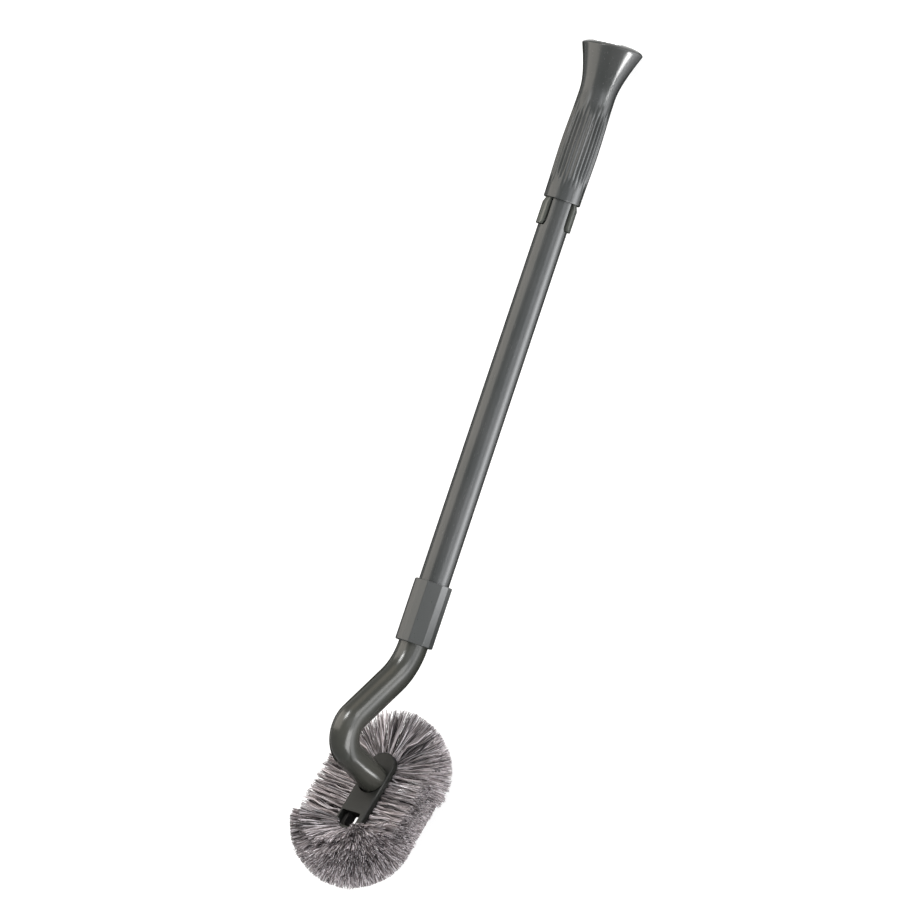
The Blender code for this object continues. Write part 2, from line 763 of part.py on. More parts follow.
def build_end_pad(name, centre, first_angle, rows, material, head):
    turn = clearance / block_radius
    pitch = (math.pi - turn) / end_tufts
    gap = pitch * tuft_gap / tuft_pitch
    borders, owners = tuft_columns(end_tufts, pitch, gap)
    start = first_angle + turn / 2
    middles = [pitch * (k + 0.5) for k in range(end_tufts)]

    def place(border, radius):
        angle = start + border
        return centre + radius * math.cos(angle), radius * math.sin(angle)

    return build_wall_pad(name, place, borders, owners, middles, rows, material, head)


def build_under_pad(material, head):
    half_width = under_pad_half_width
    heel_end = heel_centre + math.sqrt((wall_back_foot_radius - clearance) ** 2 - half_width ** 2)
    pitch_along = (heel_end + under_pad_end) / under_tufts_along
    pitch_across = 2 * half_width / under_tufts_across
    x_borders, x_owners = tuft_columns(under_tufts_along, pitch_along, tuft_gap)
    y_borders, y_owners = tuft_columns(under_tufts_across, pitch_across, tuft_gap)
    top = block_foot + under_pad_thickness
    outer = [[Vector((heel_end - x, y - half_width, block_foot)) for y in y_borders] for x in x_borders]
    inner = [[Vector((point.x, point.y, top)) for point in column] for column in outer]
    tufts = []
    for i in range(under_tufts_along):
        for j in range(under_tufts_across):
            root = Vector((heel_end - pitch_along * (i + 0.5), pitch_across * (j + 0.5) - half_width,
                           block_foot))
            lean_along = under_end_slope * (1 - 2 * i / (under_tufts_along - 1))
            lean_across = under_side_slope * (2 * j / (under_tufts_across - 1) - 1)
            heading = Vector((math.tan(lean_along), math.tan(lean_across), -1)).normalized()
            tufts.append((root, root + heading * under_strand_length))
    owner_grid = []
    for i in x_owners:
        owner_grid.append([None if i is None or j is None else i * under_tufts_across + j
                           for j in y_owners])
    return add_tufted_pad("bristles_under", outer, inner, owner_grid, tufts, under_spread_share,
                          material, head)


def lay_down(root, bristle_pads, rim_pieces):
    # Tilts the handle until its rim and its bristles both rest on the floor, trims the lowest
    # tips flat and puts the middle of the whole brush's footprint at the origin.
    def points_of(pieces):
        return [root.matrix_world.inverted() @ piece.matrix_world @ vertex.co
                for piece in pieces for vertex in piece.data.vertices]

    bpy.context.view_layer.update()
    tips, rim = points_of(bristle_pads), points_of(rim_pieces)
    tilt = 0.0
    for _ in range(rest_steps):
        turn = Matrix.Rotation(tilt, 4, "Y")
        low_tip = min((turn @ point for point in tips), key=lambda point: point.z)
        low_rim = min((turn @ point for point in rim), key=lambda point: point.z)
        rise = low_rim.z - (low_tip.z + rest_flat)
        tilt += math.atan2(rise, low_rim.x - low_tip.x)
    root.rotation_euler = (0, tilt, 0)
    root.location = (0, 0, -low_rim.z)
    bpy.context.view_layer.update()
    for pad in bristle_pads:
        to_world = pad.matrix_world
        to_local = to_world.inverted()
        for vertex in pad.data.vertices:
            point = to_world @ vertex.co
            if point.z < 0:
                point.z = 0
                vertex.co = to_local @ point
    corners = [piece.matrix_world @ vertex.co
               for piece in root.children_recursive if piece.type == "MESH" and not piece.hide_render
               for vertex in piece.data.vertices]
    middle_x = (min(point.x for point in corners) + max(point.x for point in corners)) / 2
    root.location.x = -middle_x
    bpy.context.view_layer.update()


def main():
    clear_scene()
    gloss = make_material("neck_gloss_plastic", (0.065, 0.065, 0.055), 0.16)
    satin = make_material("handle_satin_plastic", (0.085, 0.088, 0.088), 0.30)
    matt = make_material("plate_matt_plastic", (0.04, 0.041, 0.037), 0.55)
    inner_plastic = make_material("inner_plastic", (0.20, 0.20, 0.20), 0.50)
    seal_rubber = make_material("seal_rubber", (0.02, 0.02, 0.02), 0.80)
    steel = make_material("screw_steel", (0.55, 0.55, 0.56), 0.30, 1.0)
    filament = make_material("bristle_filament", (0.27, 0.25, 0.245), 0.60)

    root = add_empty("brush", None)
    build_grip_shell(satin, root)
    build_grip_end_cap(satin.copy(), root)
    build_grip_liner(inner_plastic, root)
    build_pole(satin.copy(), root)
    build_latch_carrier(inner_plastic.copy(), root)
    build_release_tab("release_tab_left", handle_roll, satin.copy(), root)
    build_release_tab("release_tab_right", handle_roll + math.pi, satin.copy(), root)
    build_lock_collar(satin.copy(), root)
    build_collet_ring(inner_plastic.copy(), root)
    build_seal_ring(seal_rubber, root)
    build_pole_socket(inner_plastic.copy(), root)
    build_neck_tube(gloss, root)

    head = add_empty("head", root, (-neck_path()[0], 0, -head_drop), (0, head_slope, 0))
    build_head_plate(matt, head)
    build_bristle_block(matt.copy(), head)
    build_screws(steel, head)
    pads = [build_side_pad("bristles_left", 1, filament, head),
            build_side_pad("bristles_right", -1, filament.copy(), head),
            build_end_pad("bristles_heel", heel_centre, -math.pi / 2, heel_rows, filament.copy(), head),
            build_end_pad("bristles_toe", toe_centre, math.pi / 2, toe_rows, filament.copy(), head),
            build_under_pad(filament.copy(), head)]
    lay_down(root, pads, [bpy.data.objects["grip_shell"], bpy.data.objects["grip_end_cap"]])


main()
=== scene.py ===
import json
import math
import random

import bmesh
import bpy
from mathutils import Matrix, Vector


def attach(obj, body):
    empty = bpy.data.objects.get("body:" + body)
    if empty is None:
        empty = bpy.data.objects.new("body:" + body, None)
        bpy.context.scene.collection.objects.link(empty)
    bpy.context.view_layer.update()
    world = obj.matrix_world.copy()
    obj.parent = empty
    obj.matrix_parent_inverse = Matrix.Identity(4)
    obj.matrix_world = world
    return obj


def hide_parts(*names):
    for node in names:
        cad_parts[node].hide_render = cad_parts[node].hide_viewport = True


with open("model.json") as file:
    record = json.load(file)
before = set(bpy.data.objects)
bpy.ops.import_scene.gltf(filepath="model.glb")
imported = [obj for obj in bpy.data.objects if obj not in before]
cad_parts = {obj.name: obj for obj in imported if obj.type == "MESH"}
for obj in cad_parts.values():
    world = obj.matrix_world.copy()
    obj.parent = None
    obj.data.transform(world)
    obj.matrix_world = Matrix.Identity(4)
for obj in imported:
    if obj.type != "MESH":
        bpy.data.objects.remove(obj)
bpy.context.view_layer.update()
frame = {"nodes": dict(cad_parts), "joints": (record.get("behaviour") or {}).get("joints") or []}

print("frame loaded:", len(frame["nodes"]), "CAD nodes")


# Where the handle lies
handle = dict(
    collarLength=0.0405,
    headAt=0.08885, headDrop=0.00335, headSlope=18,  # the plate's top at the neck's axis
)
twist = next(joint for joint in frame["joints"] if joint["name"] == "collar_twist")
handleAxis = Vector(twist["axis"])
handleTilt = math.atan2(-handleAxis.z, handleAxis.x)
handleFoot = Vector(twist["pos_m"]) - handleAxis * handle["collarLength"] / 2
handlePlace = Matrix.Translation(handleFoot) @ Matrix.Rotation(handleTilt, 4, "Y")
headPlace = (handlePlace @ Matrix.Translation((-handle["headAt"], 0, -handle["headDrop"]))
             @ Matrix.Rotation(math.radians(handle["headSlope"]), 4, "Y"))
tabRoll = math.radians(-45)  # the tabs and the collar's flats face the diagonals


overrun = 0.002  # how far a cutting tool reaches past what it cuts


def linearColour(hexCode):
    # a screen's hex code as linear light
    channels = [int(hexCode[k:k + 2], 16) / 255 for k in (1, 3, 5)]
    return [c / 12.92 if c <= 0.04045 else ((c + 0.055) / 1.055) ** 2.4 for c in channels] + [1.0]


def addNode(tree, kind, inputs=None, **settings):
    node = tree.nodes.new(kind)
    for name, value in settings.items():
        setattr(node, name, value)
    for name, value in (inputs or {}).items():
        if isinstance(value, bpy.types.NodeSocket):
            tree.links.new(value, node.inputs[name])
        else:
            node.inputs[name].default_value = value
    return node


def newMaterial(name):
    material = bpy.data.materials.new(name)
    material.use_nodes = True
    return material, material.node_tree, material.node_tree.nodes["Principled BSDF"]


def newMattMaterial(name, colour, tint):
    # no gloss at all, and a glow whose strength the caller links
    material, tree, shader = newMaterial(name)
    shader.inputs["Base Color"].default_value = linearColour(colour)
    shader.inputs["Roughness"].default_value = 1.0
    shader.inputs["Specular IOR Level"].default_value = 0.0
    shader.inputs["Emission Color"].default_value = linearColour(tint)
    return material, tree, shader


def spinProfile(points, steps, closed=True):
    # points are (along the handle, radius); the profile turns once round the X axis
    bm = bmesh.new()
    verts = [bm.verts.new((along, 0, radius)) for along, radius in points]
    edges = [bm.edges.new(pair) for pair in zip(verts, verts[1:])]
    if closed:
        edges.append(bm.edges.new((verts[-1], verts[0])))
    bmesh.ops.spin(bm, geom=verts + edges, cent=(0, 0, 0), axis=(1, 0, 0), angle=2 * math.pi,
                   steps=steps, use_merge=True)
    bmesh.ops.remove_doubles(bm, verts=bm.verts, dist=1e-6)
    bmesh.ops.recalc_face_normals(bm, faces=bm.faces)
    return bm


def roundedFace(bm, low, high, right, left, lowCorner, highCorner, segments, z):
    # one flat face with rounded corners, from low to high along X and right to left along Y
    made = bmesh.ops.create_grid(bm, x_segments=1, y_segments=1, size=0.5)["verts"]
    middle = (low + high) / 2
    bmesh.ops.scale(bm, vec=(high - low, left - right, 1), verts=made)
    bmesh.ops.translate(bm, vec=(middle, (left + right) / 2, z), verts=made)
    for corner, ends in ((highCorner, [v for v in made if v.co.x > middle]),
                         (lowCorner, [v for v in made if v.co.x < middle])):
        bmesh.ops.bevel(bm, geom=ends, offset=corner, segments=segments, profile=0.5,
                        affect="VERTICES", material=-1)
    bm.faces.ensure_lookup_table()
    return bm.faces[-1]


def extrudeFace(bm, face, shift):
    made = bmesh.ops.extrude_face_region(bm, geom=[face])["geom"]
    verts = [v for v in made if isinstance(v, bmesh.types.BMVert)]
    bmesh.ops.translate(bm, vec=shift, verts=verts)
    return next(f for f in made if isinstance(f, bmesh.types.BMFace))


def wedgeBlock(low, high, halfAngle, corner, innerHeight, outerHeight, segments=8):
    # a rounded block that narrows towards the handle's axis
    bm = bmesh.new()
    halfWidth = outerHeight * math.tan(halfAngle)
    top = roundedFace(bm, low, high, -halfWidth, halfWidth, corner, corner, segments, outerHeight)
    foot = extrudeFace(bm, top, (0, 0, innerHeight - outerHeight))
    bmesh.ops.scale(bm, vec=(1, innerHeight / outerHeight, 1), verts=foot.verts)
    bmesh.ops.recalc_face_normals(bm, faces=bm.faces)
    return bm


def racetrackBlock(low, high, halfWidth, top, foot, segments):
    # a flat block with round ends: its corners stop just short of meeting, and are then welded
    bm = bmesh.new()
    corner = halfWidth * 0.9999
    face = roundedFace(bm, low, high, -halfWidth, halfWidth, corner, corner, segments, top)
    extrudeFace(bm, face, (0, 0, foot - top))
    bmesh.ops.remove_doubles(bm, verts=bm.verts, dist=1e-5)
    bmesh.ops.recalc_face_normals(bm, faces=bm.faces)
    return bm


def bevelEdges(bm, edges, width, segments):
    bmesh.ops.bevel(bm, geom=edges, offset=width, segments=segments, profile=0.5,
                    affect="EDGES", material=-1)


def meshObject(name, bm):
    mesh = bpy.data.meshes.new(name)
    bm.to_mesh(mesh)
    bm.free()
    made = bpy.data.objects.new(name, mesh)
    bpy.context.collection.objects.link(made)
    return made


def cutOrJoin(piece, tools, operation="DIFFERENCE"):
    for k, toolBm in enumerate(tools):
        tool = meshObject("%sTool%d" % (piece.name, k), toolBm)
        boolean = piece.modifiers.new(tool.name, "BOOLEAN")
        boolean.operation, boolean.object, boolean.solver = operation, tool, "EXACT"


def roundEdges(piece, width, segments, sharperThan):
    rounding = piece.modifiers.new("edgeRound", "BEVEL")
    rounding.width, rounding.segments, rounding.limit_method = width, segments, "ANGLE"
    rounding.angle_limit = math.radians(sharperThan)


def finishPiece(piece, place, material, body, nodes=(), sharpAngle=35, evenFlats=False):
    # applies the modifiers, moves the mesh to its place, hangs it on its body and hides the CAD
    # nodes it stands in for
    tools = [m.object for m in piece.modifiers if m.type == "BOOLEAN"]
    if piece.modifiers:
        graph = bpy.context.evaluated_depsgraph_get()
        piece.data = bpy.data.meshes.new_from_object(piece.evaluated_get(graph))
        piece.modifiers.clear()
    for tool in tools:
        bpy.data.objects.remove(tool, do_unlink=True)
    piece.data.transform(place)
    piece.data.shade_smooth()
    piece.data.set_sharp_from_angle(angle=math.radians(sharpAngle))
    piece.data.materials.clear()
    piece.data.materials.append(material)
    if evenFlats:
        evener = piece.modifiers.new("evenFlats", "WEIGHTED_NORMAL")  # bevels don't tint the flats
        evener.keep_sharp = True
    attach(piece, body)
    if nodes:
        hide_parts(*nodes)
    print("made", piece.name, len(piece.data.polygons), "faces")


# The camera is set by where the handle shows in a picture 900 pixels wide
camera = dict(
    lens=400, sensor=36, pixels=900, clip=(0.1, 60),
    metresPerPixel=0.00063,
    footPixel=(413.5, 644.1),  # where the collar's foot shows
    handleSeen=(0.3169, 0.9472, -0.0499),  # the handle's axis, as (right, up, towards the camera)
    neckSeen=(-0.6160, 0.2460, 0.7620),  # the gooseneck's upward side
)
seenX = Vector(camera["handleSeen"]).normalized()
seenZ = Vector(camera["neckSeen"])
seenZ = (seenZ - seenX * seenZ.dot(seenX)).normalized()
toCamera = Matrix((seenX, seenZ.cross(seenX), seenZ)).transposed()
cameraTurn = handlePlace.to_3x3() @ toCamera.inverted()
viewRight, viewUp, viewBack = cameraTurn.col
half = camera["pixels"] / 2
aim = (handleFoot + viewRight * (half - camera["footPixel"][0]) * camera["metresPerPixel"]
       + viewUp * (camera["footPixel"][1] - half) * camera["metresPerPixel"])
distance = camera["metresPerPixel"] * camera["pixels"] * camera["lens"] / camera["sensor"]
cameraData = bpy.data.cameras.new("camera")
cameraData.lens, cameraData.sensor_width = camera["lens"], camera["sensor"]
cameraData.clip_start, cameraData.clip_end = camera["clip"]
cameraObject = bpy.data.objects.new("camera", cameraData)
cameraObject.matrix_world = Matrix.Translation(aim + viewBack * distance) @ cameraTurn.to_4x4()
bpy.context.collection.objects.link(cameraObject)
bpy.context.scene.camera = cameraObject
print("camera set")


# Floor and light
studio = dict(
    floorReach=20.0, floorPaint="#a4a4a3", floorGlow=0.84,
    worldGlow=0.32, worldTint="#e6ebf0",
)
# Matt paint, pale and even. Its glow makes it white, but is only seen, directly or mirrored: to
# a diffuse ray it isn't there, so it lights nothing.
floorMaterial, tree, shader = newMattMaterial("whitePaintedFloor", studio["floorPaint"], "#ffffff")
path = addNode(tree, "ShaderNodeLightPath")
seen = addNode(tree, "ShaderNodeMath", {0: path.outputs["Is Camera Ray"],
                                        1: path.outputs["Is Glossy Ray"]}, operation="ADD")
seen = addNode(tree, "ShaderNodeMath", {0: seen.outputs[0],
                                        1: path.outputs["Is Transmission Ray"]},
               operation="ADD", use_clamp=True)
glow = addNode(tree, "ShaderNodeMath", {0: seen.outputs[0], 1: studio["floorGlow"]},
               operation="MULTIPLY")
tree.links.new(glow.outputs[0], shader.inputs["Emission Strength"])
bm = bmesh.new()
bmesh.ops.create_circle(bm, cap_ends=True, segments=64, radius=studio["floorReach"])
floor = meshObject("floor", bm)
floor.data.materials.append(floorMaterial)

world = bpy.data.worlds.new("studio")
bpy.context.scene.world = world
world.use_nodes = True
background = world.node_tree.nodes["Background"]
background.inputs["Color"].default_value = linearColour(studio["worldTint"])
background.inputs["Strength"].default_value = studio["worldGlow"]


def addSoftbox(name, place, target, width, height, radiance, tint):
    light = bpy.data.lights.new(name, "AREA")
    light.shape, light.size, light.size_y = "RECTANGLE", width, height
    light.energy = radiance * math.pi * width * height  # in watts
    light.color = linearColour(tint)[:3]
    lamp = bpy.data.objects.new(name, light)
    ahead = (Vector(target) - Vector(place)).normalized()
    across = Vector((1, 0, 0))  # the long side stays level, along the brush
    down = ahead.cross(across).normalized()
    across = down.cross(ahead)
    turn = Matrix((across, -down, -ahead)).transposed()
    lamp.matrix_world = Matrix.Translation(place) @ turn.to_4x4()
    lamp.visible_camera = False
    bpy.context.collection.objects.link(lamp)


def addCard(name, rows, tint):
    # A card, black or glowing, that only shows in reflections: it lights nothing and casts no
    # shadow, so it paints a reflection on the gloss, dark or bright. Each corner in a row has its
    # own glow, which fades evenly to the next one.
    bm = bmesh.new()
    glow = bm.verts.layers.float.new("glow")
    strips = []
    for row in rows:
        strips.append([bm.verts.new(corner) for corner, strength in row])
        for vert, (corner, strength) in zip(strips[-1], row):
            vert[glow] = strength
    for near, far in zip(strips, strips[1:]):
        for k in range(len(near) - 1):
            bm.faces.new((near[k], near[k + 1], far[k + 1], far[k]))
    card = meshObject(name, bm)
    material, tree, shader = newMattMaterial(name + "ReflectionOnly", "#050505", tint)  # matt card
    strength = addNode(tree, "ShaderNodeAttribute", attribute_name="glow")
    tree.links.new(strength.outputs["Fac"], shader.inputs["Emission Strength"])
    card.data.materials.append(material)
    card.visible_camera = card.visible_diffuse = card.visible_shadow = False
    card.visible_transmission = False


for softbox in (  # name, place, target, width, height, radiance and tint
        ("backPanel", (0.08, 0.42, 0.60), (0.08, 0, 0.03), 0.60, 0.88, 2.4, "#fff8ee"),
        ("skyPanel", (0.19, -0.62, 0.66), (0.19, 0, 0.03), 0.50, 0.52, 0.6, "#f6f8ff"),
        ("frontPanel", (0.17, -1.10, 0.26), (0.17, 0, 0.03), 0.52, 0.50, 2.3, "#f6f8ff"),
        ("headPanel", (-0.56, -1.05, 0.31), (-0.2, 0, 0.05), 0.90, 0.64, 7.2, "#ffffff"),
        ("neckPanel", (0.63, -1.0, 0.24), (-0.15, 0, 0.06), 0.50, 0.48, 5.0, "#ffffff"),
        ("keyLamp", (0.76, 0.02, 1.22), (-0.15, 0, 0.07), 0.48, 0.30, 23.0, "#ffffff"),
        ("gripEndPanel", (1.50, 0.10, 0.55), (-0.15, 0, 0.07), 0.90, 0.90, 0.9, "#ffefd8")):
    addSoftbox(*softbox)
# a black card on the floor, seen only in reflections, paints dark reflections on the brush's
# underside and edges
addCard("blackCard", [[((x, y, 0.0003), 0.0) for x in (-0.7, 0.283)] for y in (-0.9, 0.6)],
        "#000000")
# The lit card lies before the brush and paints the handle's long streak, a highlight seen only in
# reflections: each row is seen at one angle below the level from the heights along the brush. A
# place is x, the height, how far the card is stretched outwards there, and how much of the steep
# rows' glow is left.
streak = dict(
    nearSide=-0.009, cardHeight=0.001, steepAbove=15,
    places=((-0.34, 0.055, 1.0, 0.35), (-0.26, 0.068, 1.0, 0.35), (-0.20, 0.078, 1.8, 0.35),
            (-0.16, 0.066, 2.3, 0.35), (-0.12, 0.047, 2.3, 0.40), (-0.075, 0.040, 1.1, 0.95),
            (0.0, 0.036, 1.0, 1.0), (0.15, 0.027, 1.0, 1.0), (0.215, 0.024, 1.0, 0.75),
            (0.245, 0.022, 1.0, 0.5), (0.32, 0.017, 1.0, 0.35)),
    angles=((78, 0.3), (56, 2.0), (43, 6.0), (32, 9.5), (22, 7.5), (13, 4.6), (7, 3.0),
            (3.2, 2.0)),
)
rows = []
for angle, glowHere in streak["angles"]:
    slope = math.tan(math.radians(angle))
    rows.append([((at, streak["nearSide"] - height * stretch / slope, streak["cardHeight"]),
                  glowHere * (share if angle > streak["steepAbove"] else 1))
                 for at, height, stretch, share in streak["places"]])
addCard("litCard", rows, "#fbfcff")
# a narrow glowing strip beside the gooseneck's lower bend paints that bend's own streak, a
# highlight seen only in reflections
addCard("neckCard", [[((low + wide, -0.021, height), glowHere) for wide in (0, 0.0045)]
                     for glowHere, low, height in (
                         (2.0, -0.2095, 0.073), (5.5, -0.2115, 0.063), (9.0, -0.2140, 0.053),
                         (10.0, -0.2135, 0.043), (3.0, -0.2120, 0.035))], "#ffffff")
# two small glowing cards paint highlights on the domed cap and the flare, seen only in
# reflections, and a black flag paints a dark reflection there in place of the panels
addCard("capCard", [[((x, y, 0.0004), 9.0) for x in (0.284, 0.298)] for y in (0.012, 0.036)],
        "#ffffff")
addCard("flagCard", [[((0.24, y, z), 0.0) for y in (-0.03, -0.25)] for z in (0.0, 0.15)],
        "#000000")
addCard("flareCard", [[((x, y, 0.015), 32.0) for x, y in side]
                      for side in (((0.2455, -0.045), (0.268, -0.053)),
                                   ((0.2455, -0.033), (0.268, -0.028)))], "#ffffff")
print("floor and light set")


def mouldedPlastic(name, look):
    # The colour drifts a little over centimetres, as regrind does, and a fine grain from the
    # mould breaks up the gloss. Real grain is nearer 0.1 mm and is drawn coarser, so that it
    # shows. dragMm stretches it along the handle.
    material, tree, shader = newMaterial(name)
    coords = addNode(tree, "ShaderNodeTexCoord")
    along = addNode(tree, "ShaderNodeMapping", {
        "Vector": coords.outputs["Object"], "Rotation": (0, -handleTilt, 0),
        "Scale": (look["grainMm"] / look["dragMm"], 1, 1)}, vector_type="POINT")
    drift = addNode(tree, "ShaderNodeTexNoise", {
        "Vector": coords.outputs["Object"], "Scale": 1000 / look["driftMm"], "Detail": 3.0})
    colours = addNode(tree, "ShaderNodeValToRGB", {"Fac": drift.outputs["Fac"]})
    colours.color_ramp.elements[0].position, colours.color_ramp.elements[1].position = 0.35, 0.65
    colours.color_ramp.elements[0].color = linearColour(look["dark"])
    colours.color_ramp.elements[1].color = linearColour(look["pale"])
    grain = addNode(tree, "ShaderNodeTexNoise", {
        "Vector": along.outputs["Vector"], "Scale": 1000 / look["grainMm"], "Detail": 4.0,
        "Roughness": 0.6})
    gloss = addNode(tree, "ShaderNodeMapRange", {
        "Value": grain.outputs["Fac"], "From Min": 0.3, "From Max": 0.7,
        "To Min": look["roughness"] - look["roughnessDrift"],
        "To Max": look["roughness"] + look["roughnessDrift"]})
    bump = addNode(tree, "ShaderNodeBump", {
        "Height": grain.outputs["Fac"], "Distance": look["grainDepthMm"] / 1000, "Strength": 1.0})
    tree.links.new(colours.outputs["Color"], shader.inputs["Base Color"])
    tree.links.new(gloss.outputs["Result"], shader.inputs["Roughness"])
    tree.links.new(bump.outputs["Normal"], shader.inputs["Normal"])
    shader.inputs["IOR"].default_value = look["ior"]
    return material


# Handle: injection-moulded satin ABS, which gives soft grey highlights with a faint grain
satinLook = dict(dark="#333534", pale="#3a3b3a", driftMm=34, grainMm=0.9, dragMm=2.4,
                 grainDepthMm=0.003, roughness=0.25, roughnessDrift=0.03, ior=1.53)
gripAbs = mouldedPlastic("satinMouldedAbsGrip", satinLook)
capAbs = mouldedPlastic("satinMouldedAbsCap", dict(satinLook, dark="#363a3c", pale="#3d4143"))
poleAbs = mouldedPlastic("satinDrawnAbsPole", dict(satinLook, dragMm=9.0))
tabAbs = mouldedPlastic("satinMouldedAbsTab", dict(satinLook, dark="#4a4c48", pale="#53554f"))
collarAbs = mouldedPlastic("satinMouldedAbsCollar", dict(
    satinLook, dark="#393b3a", pale="#414241", roughness=0.30))
# Gooseneck: the same plastic from a polished mould, so it mirrors the lights almost sharply
neckAbs = mouldedPlastic("polishedMouldedAbs", dict(
    satinLook, dark="#343531", pale="#3c3c37", grainMm=2.2, dragMm=2.2, grainDepthMm=0.003,
    roughness=0.23, roughnessDrift=0.03))
# Plate: polypropylene from a spark-eroded mould, matt and nearly black with a visible grain
plateGrain = dict(dark="#161714", pale="#1e1f1b", driftMm=14, grainMm=0.7, dragMm=0.7,
                  grainDepthMm=0.02, roughness=0.55, roughnessDrift=0.06, ior=1.42)
platePp = mouldedPlastic("mattMouldedPolypropylene", plateGrain)
# Backing: the same in a warmer, less even black, as hidden pieces are
backingPp = mouldedPlastic("mattMouldedBacking", dict(plateGrain, dark="#1d1c1a", pale="#262421"))
# Bush and split ring: undyed polypropylene, pale and dull
innerPp = mouldedPlastic("naturalGreyPolypropylene", dict(
    plateGrain, dark="#6f6f6e", pale="#7b7b7a", grainDepthMm=0.01))
# Seal: moulded nitrile rubber, black and dull
sealRubber = mouldedPlastic("mouldedNitrileRubber", dict(
    plateGrain, dark="#141414", pale="#1c1c1c", grainDepthMm=0.01, roughness=0.75))


def platedSteel(scratchMm):
    # Screws: zinc-plated steel with the fine scratches of driving
    material, tree, shader = newMaterial("zincPlatedSteel")
    coords = addNode(tree, "ShaderNodeTexCoord")
    scratches = addNode(tree, "ShaderNodeTexNoise", {
        "Vector": coords.outputs["Object"], "Scale": 1000 / scratchMm, "Detail": 5.0})
    gloss = addNode(tree, "ShaderNodeMapRange", {
        "Value": scratches.outputs["Fac"], "To Min": 0.22, "To Max": 0.42})
    tree.links.new(gloss.outputs["Result"], shader.inputs["Roughness"])
    shader.inputs["Base Color"].default_value = linearColour("#c2c3c6")
    shader.inputs["Metallic"].default_value = 1.0
    return material


screwSteel = platedSteel(0.4)


def nylonFilament(look):
    # Bristles: crimped nylon filament, dull grey. Along a strand it runs from a pale root through
    # a darker low stretch, which is painted shade, to pale cut tips, partly their own colour and
    # partly painted highlight. Each strand is a slightly different grey, at random and with
    # painted crease shade under each clump. The strands carry their own attributes.
    material, tree, shader = newMaterial("crimpedNylonFilament")
    strand = addNode(tree, "ShaderNodeAttribute", attribute_name="strandTone")
    reach = addNode(tree, "ShaderNodeAttribute", attribute_name="strandReach")
    lengthwise = addNode(tree, "ShaderNodeValToRGB", {"Fac": reach.outputs["Fac"]})
    ramp = lengthwise.color_ramp
    ramp.elements[0].position, ramp.elements[0].color = 0.03, linearColour(look["root"])
    ramp.elements[1].position, ramp.elements[1].color = 1.0, linearColour(look["tip"])
    # the low grey is painted shade deep in the tufts; the pale near-tips and tips are partly the
    # cut ends' own colour and partly painted highlight
    for position, colour in ((0.20, look["low"]), (0.58, look["middle"]), (0.84, look["nearTip"])):
        ramp.elements.new(position).color = linearColour(colour)
    value = addNode(tree, "ShaderNodeMapRange", {
        "Value": strand.outputs["Fac"], "To Min": look["darkest"], "To Max": look["palest"]})
    tint = addNode(tree, "ShaderNodeHueSaturation", {
        "Color": lengthwise.outputs["Color"], "Value": value.outputs["Result"]})
    tree.links.new(tint.outputs["Color"], shader.inputs["Base Color"])
    shader.inputs["Roughness"].default_value = look["roughness"]
    shader.inputs["IOR"].default_value = look["ior"]
    return material


filamentNylon = nylonFilament(dict(
    root="#bdb4b3", low="#847b7c", middle="#9c9294", nearTip="#e0d8db", tip="#ebe5e8",
    darkest=0.08, palest=1.32, roughness=0.48, ior=1.53))

# the pieces inside keep their CAD shapes
screws = ["neck_screw"] + ["block_screw_%d" % k for k in (1, 2, 3, 4)]
for material, nodeNames in ((backingPp, ["grip_liner", "latch_carrier", "bristle_block"]),
                            (innerPp, ["pole_socket", "collet_ring"]),
                            (sealRubber, ["seal_ring"]), (screwSteel, screws)):
    for nodeName in nodeNames:
        frame["nodes"][nodeName].data.materials.clear()
        frame["nodes"][nodeName].data.materials.append(material)
print("materials made")


# The grip and the cap in its flared end
grip = dict(
    hemAt=0.2948, length=0.1015, hemRadius=0.0120, hemRound=0.0006, hemBore=0.0106,
    bellyRadius=0.01255, bellyAt=0.0340, waistRadius=0.0118, waistAt=0.0706,
    flareEase=0.55, rimRadius=0.0197, rimSlant=3.9, lipWidth=0.0023,
    lipShares=(0.12, 0.3, 0.5, 0.75, 1), wall=0.0022, innerBore=0.0090, shoulderAt=0.3600,
    flutes=26, fluteDepth=0.0008, fluteStart=0.0065, fluteEnd=0.0665, fluteRunOut=0.0150,
    fluteSharpness=0.8, stepsPerFlute=10,
    loopsFrom=0.0020, loopPitch=0.0012, loops=56, flareLoops=30,
    innerFrom=0.0950, innerPitch=0.0030, innerLoops=8,
    dome=0.0042, domeLoops=14, capDepth=0.0022, capEdge=0.0005, capSteps=120,
    plugLength=0.0060, plugWall=0.0014, gap=0.0003,
)
rimAt = grip["hemAt"] + grip["length"]
mouthRadius = grip["rimRadius"] - grip["lipWidth"]


def eased(low, high, share):
    # from low to high, level at both ends
    return low + (high - low) * (1 - math.cos(math.pi * share)) / 2


def gripRadius(at):
    if at < grip["bellyAt"]:
        return eased(grip["hemRadius"], grip["bellyRadius"], at / grip["bellyAt"])
    if at < grip["waistAt"]:
        return eased(grip["bellyRadius"], grip["waistRadius"],
                     (at - grip["bellyAt"]) / (grip["waistAt"] - grip["bellyAt"]))
    share = (at - grip["waistAt"]) / (grip["length"] - grip["waistAt"])
    bend = math.hypot(share, grip["flareEase"]) - grip["flareEase"]
    fullBend = math.hypot(1, grip["flareEase"]) - grip["flareEase"]
    return grip["waistRadius"] + (grip["rimRadius"] - grip["waistRadius"]) * bend / fullBend


def domePoint(angle):
    # the grip's end is half an ellipse across its rim, from the rim at 0 to the top
    return rimAt + grip["dome"] * math.sin(angle), grip["rimRadius"] * math.cos(angle)


def slantRim(bm):
    # the flared end leans towards the right tab, more and more above the waist
    waistAt = grip["hemAt"] + grip["waistAt"]
    for vert in bm.verts:
        sideways = vert.co.y * math.sin(tabRoll) - vert.co.z * math.cos(tabRoll)
        share = max(0, vert.co.x - waistAt) / (rimAt - waistAt)
        vert.co.x += sideways * math.tan(math.radians(grip["rimSlant"])) * share


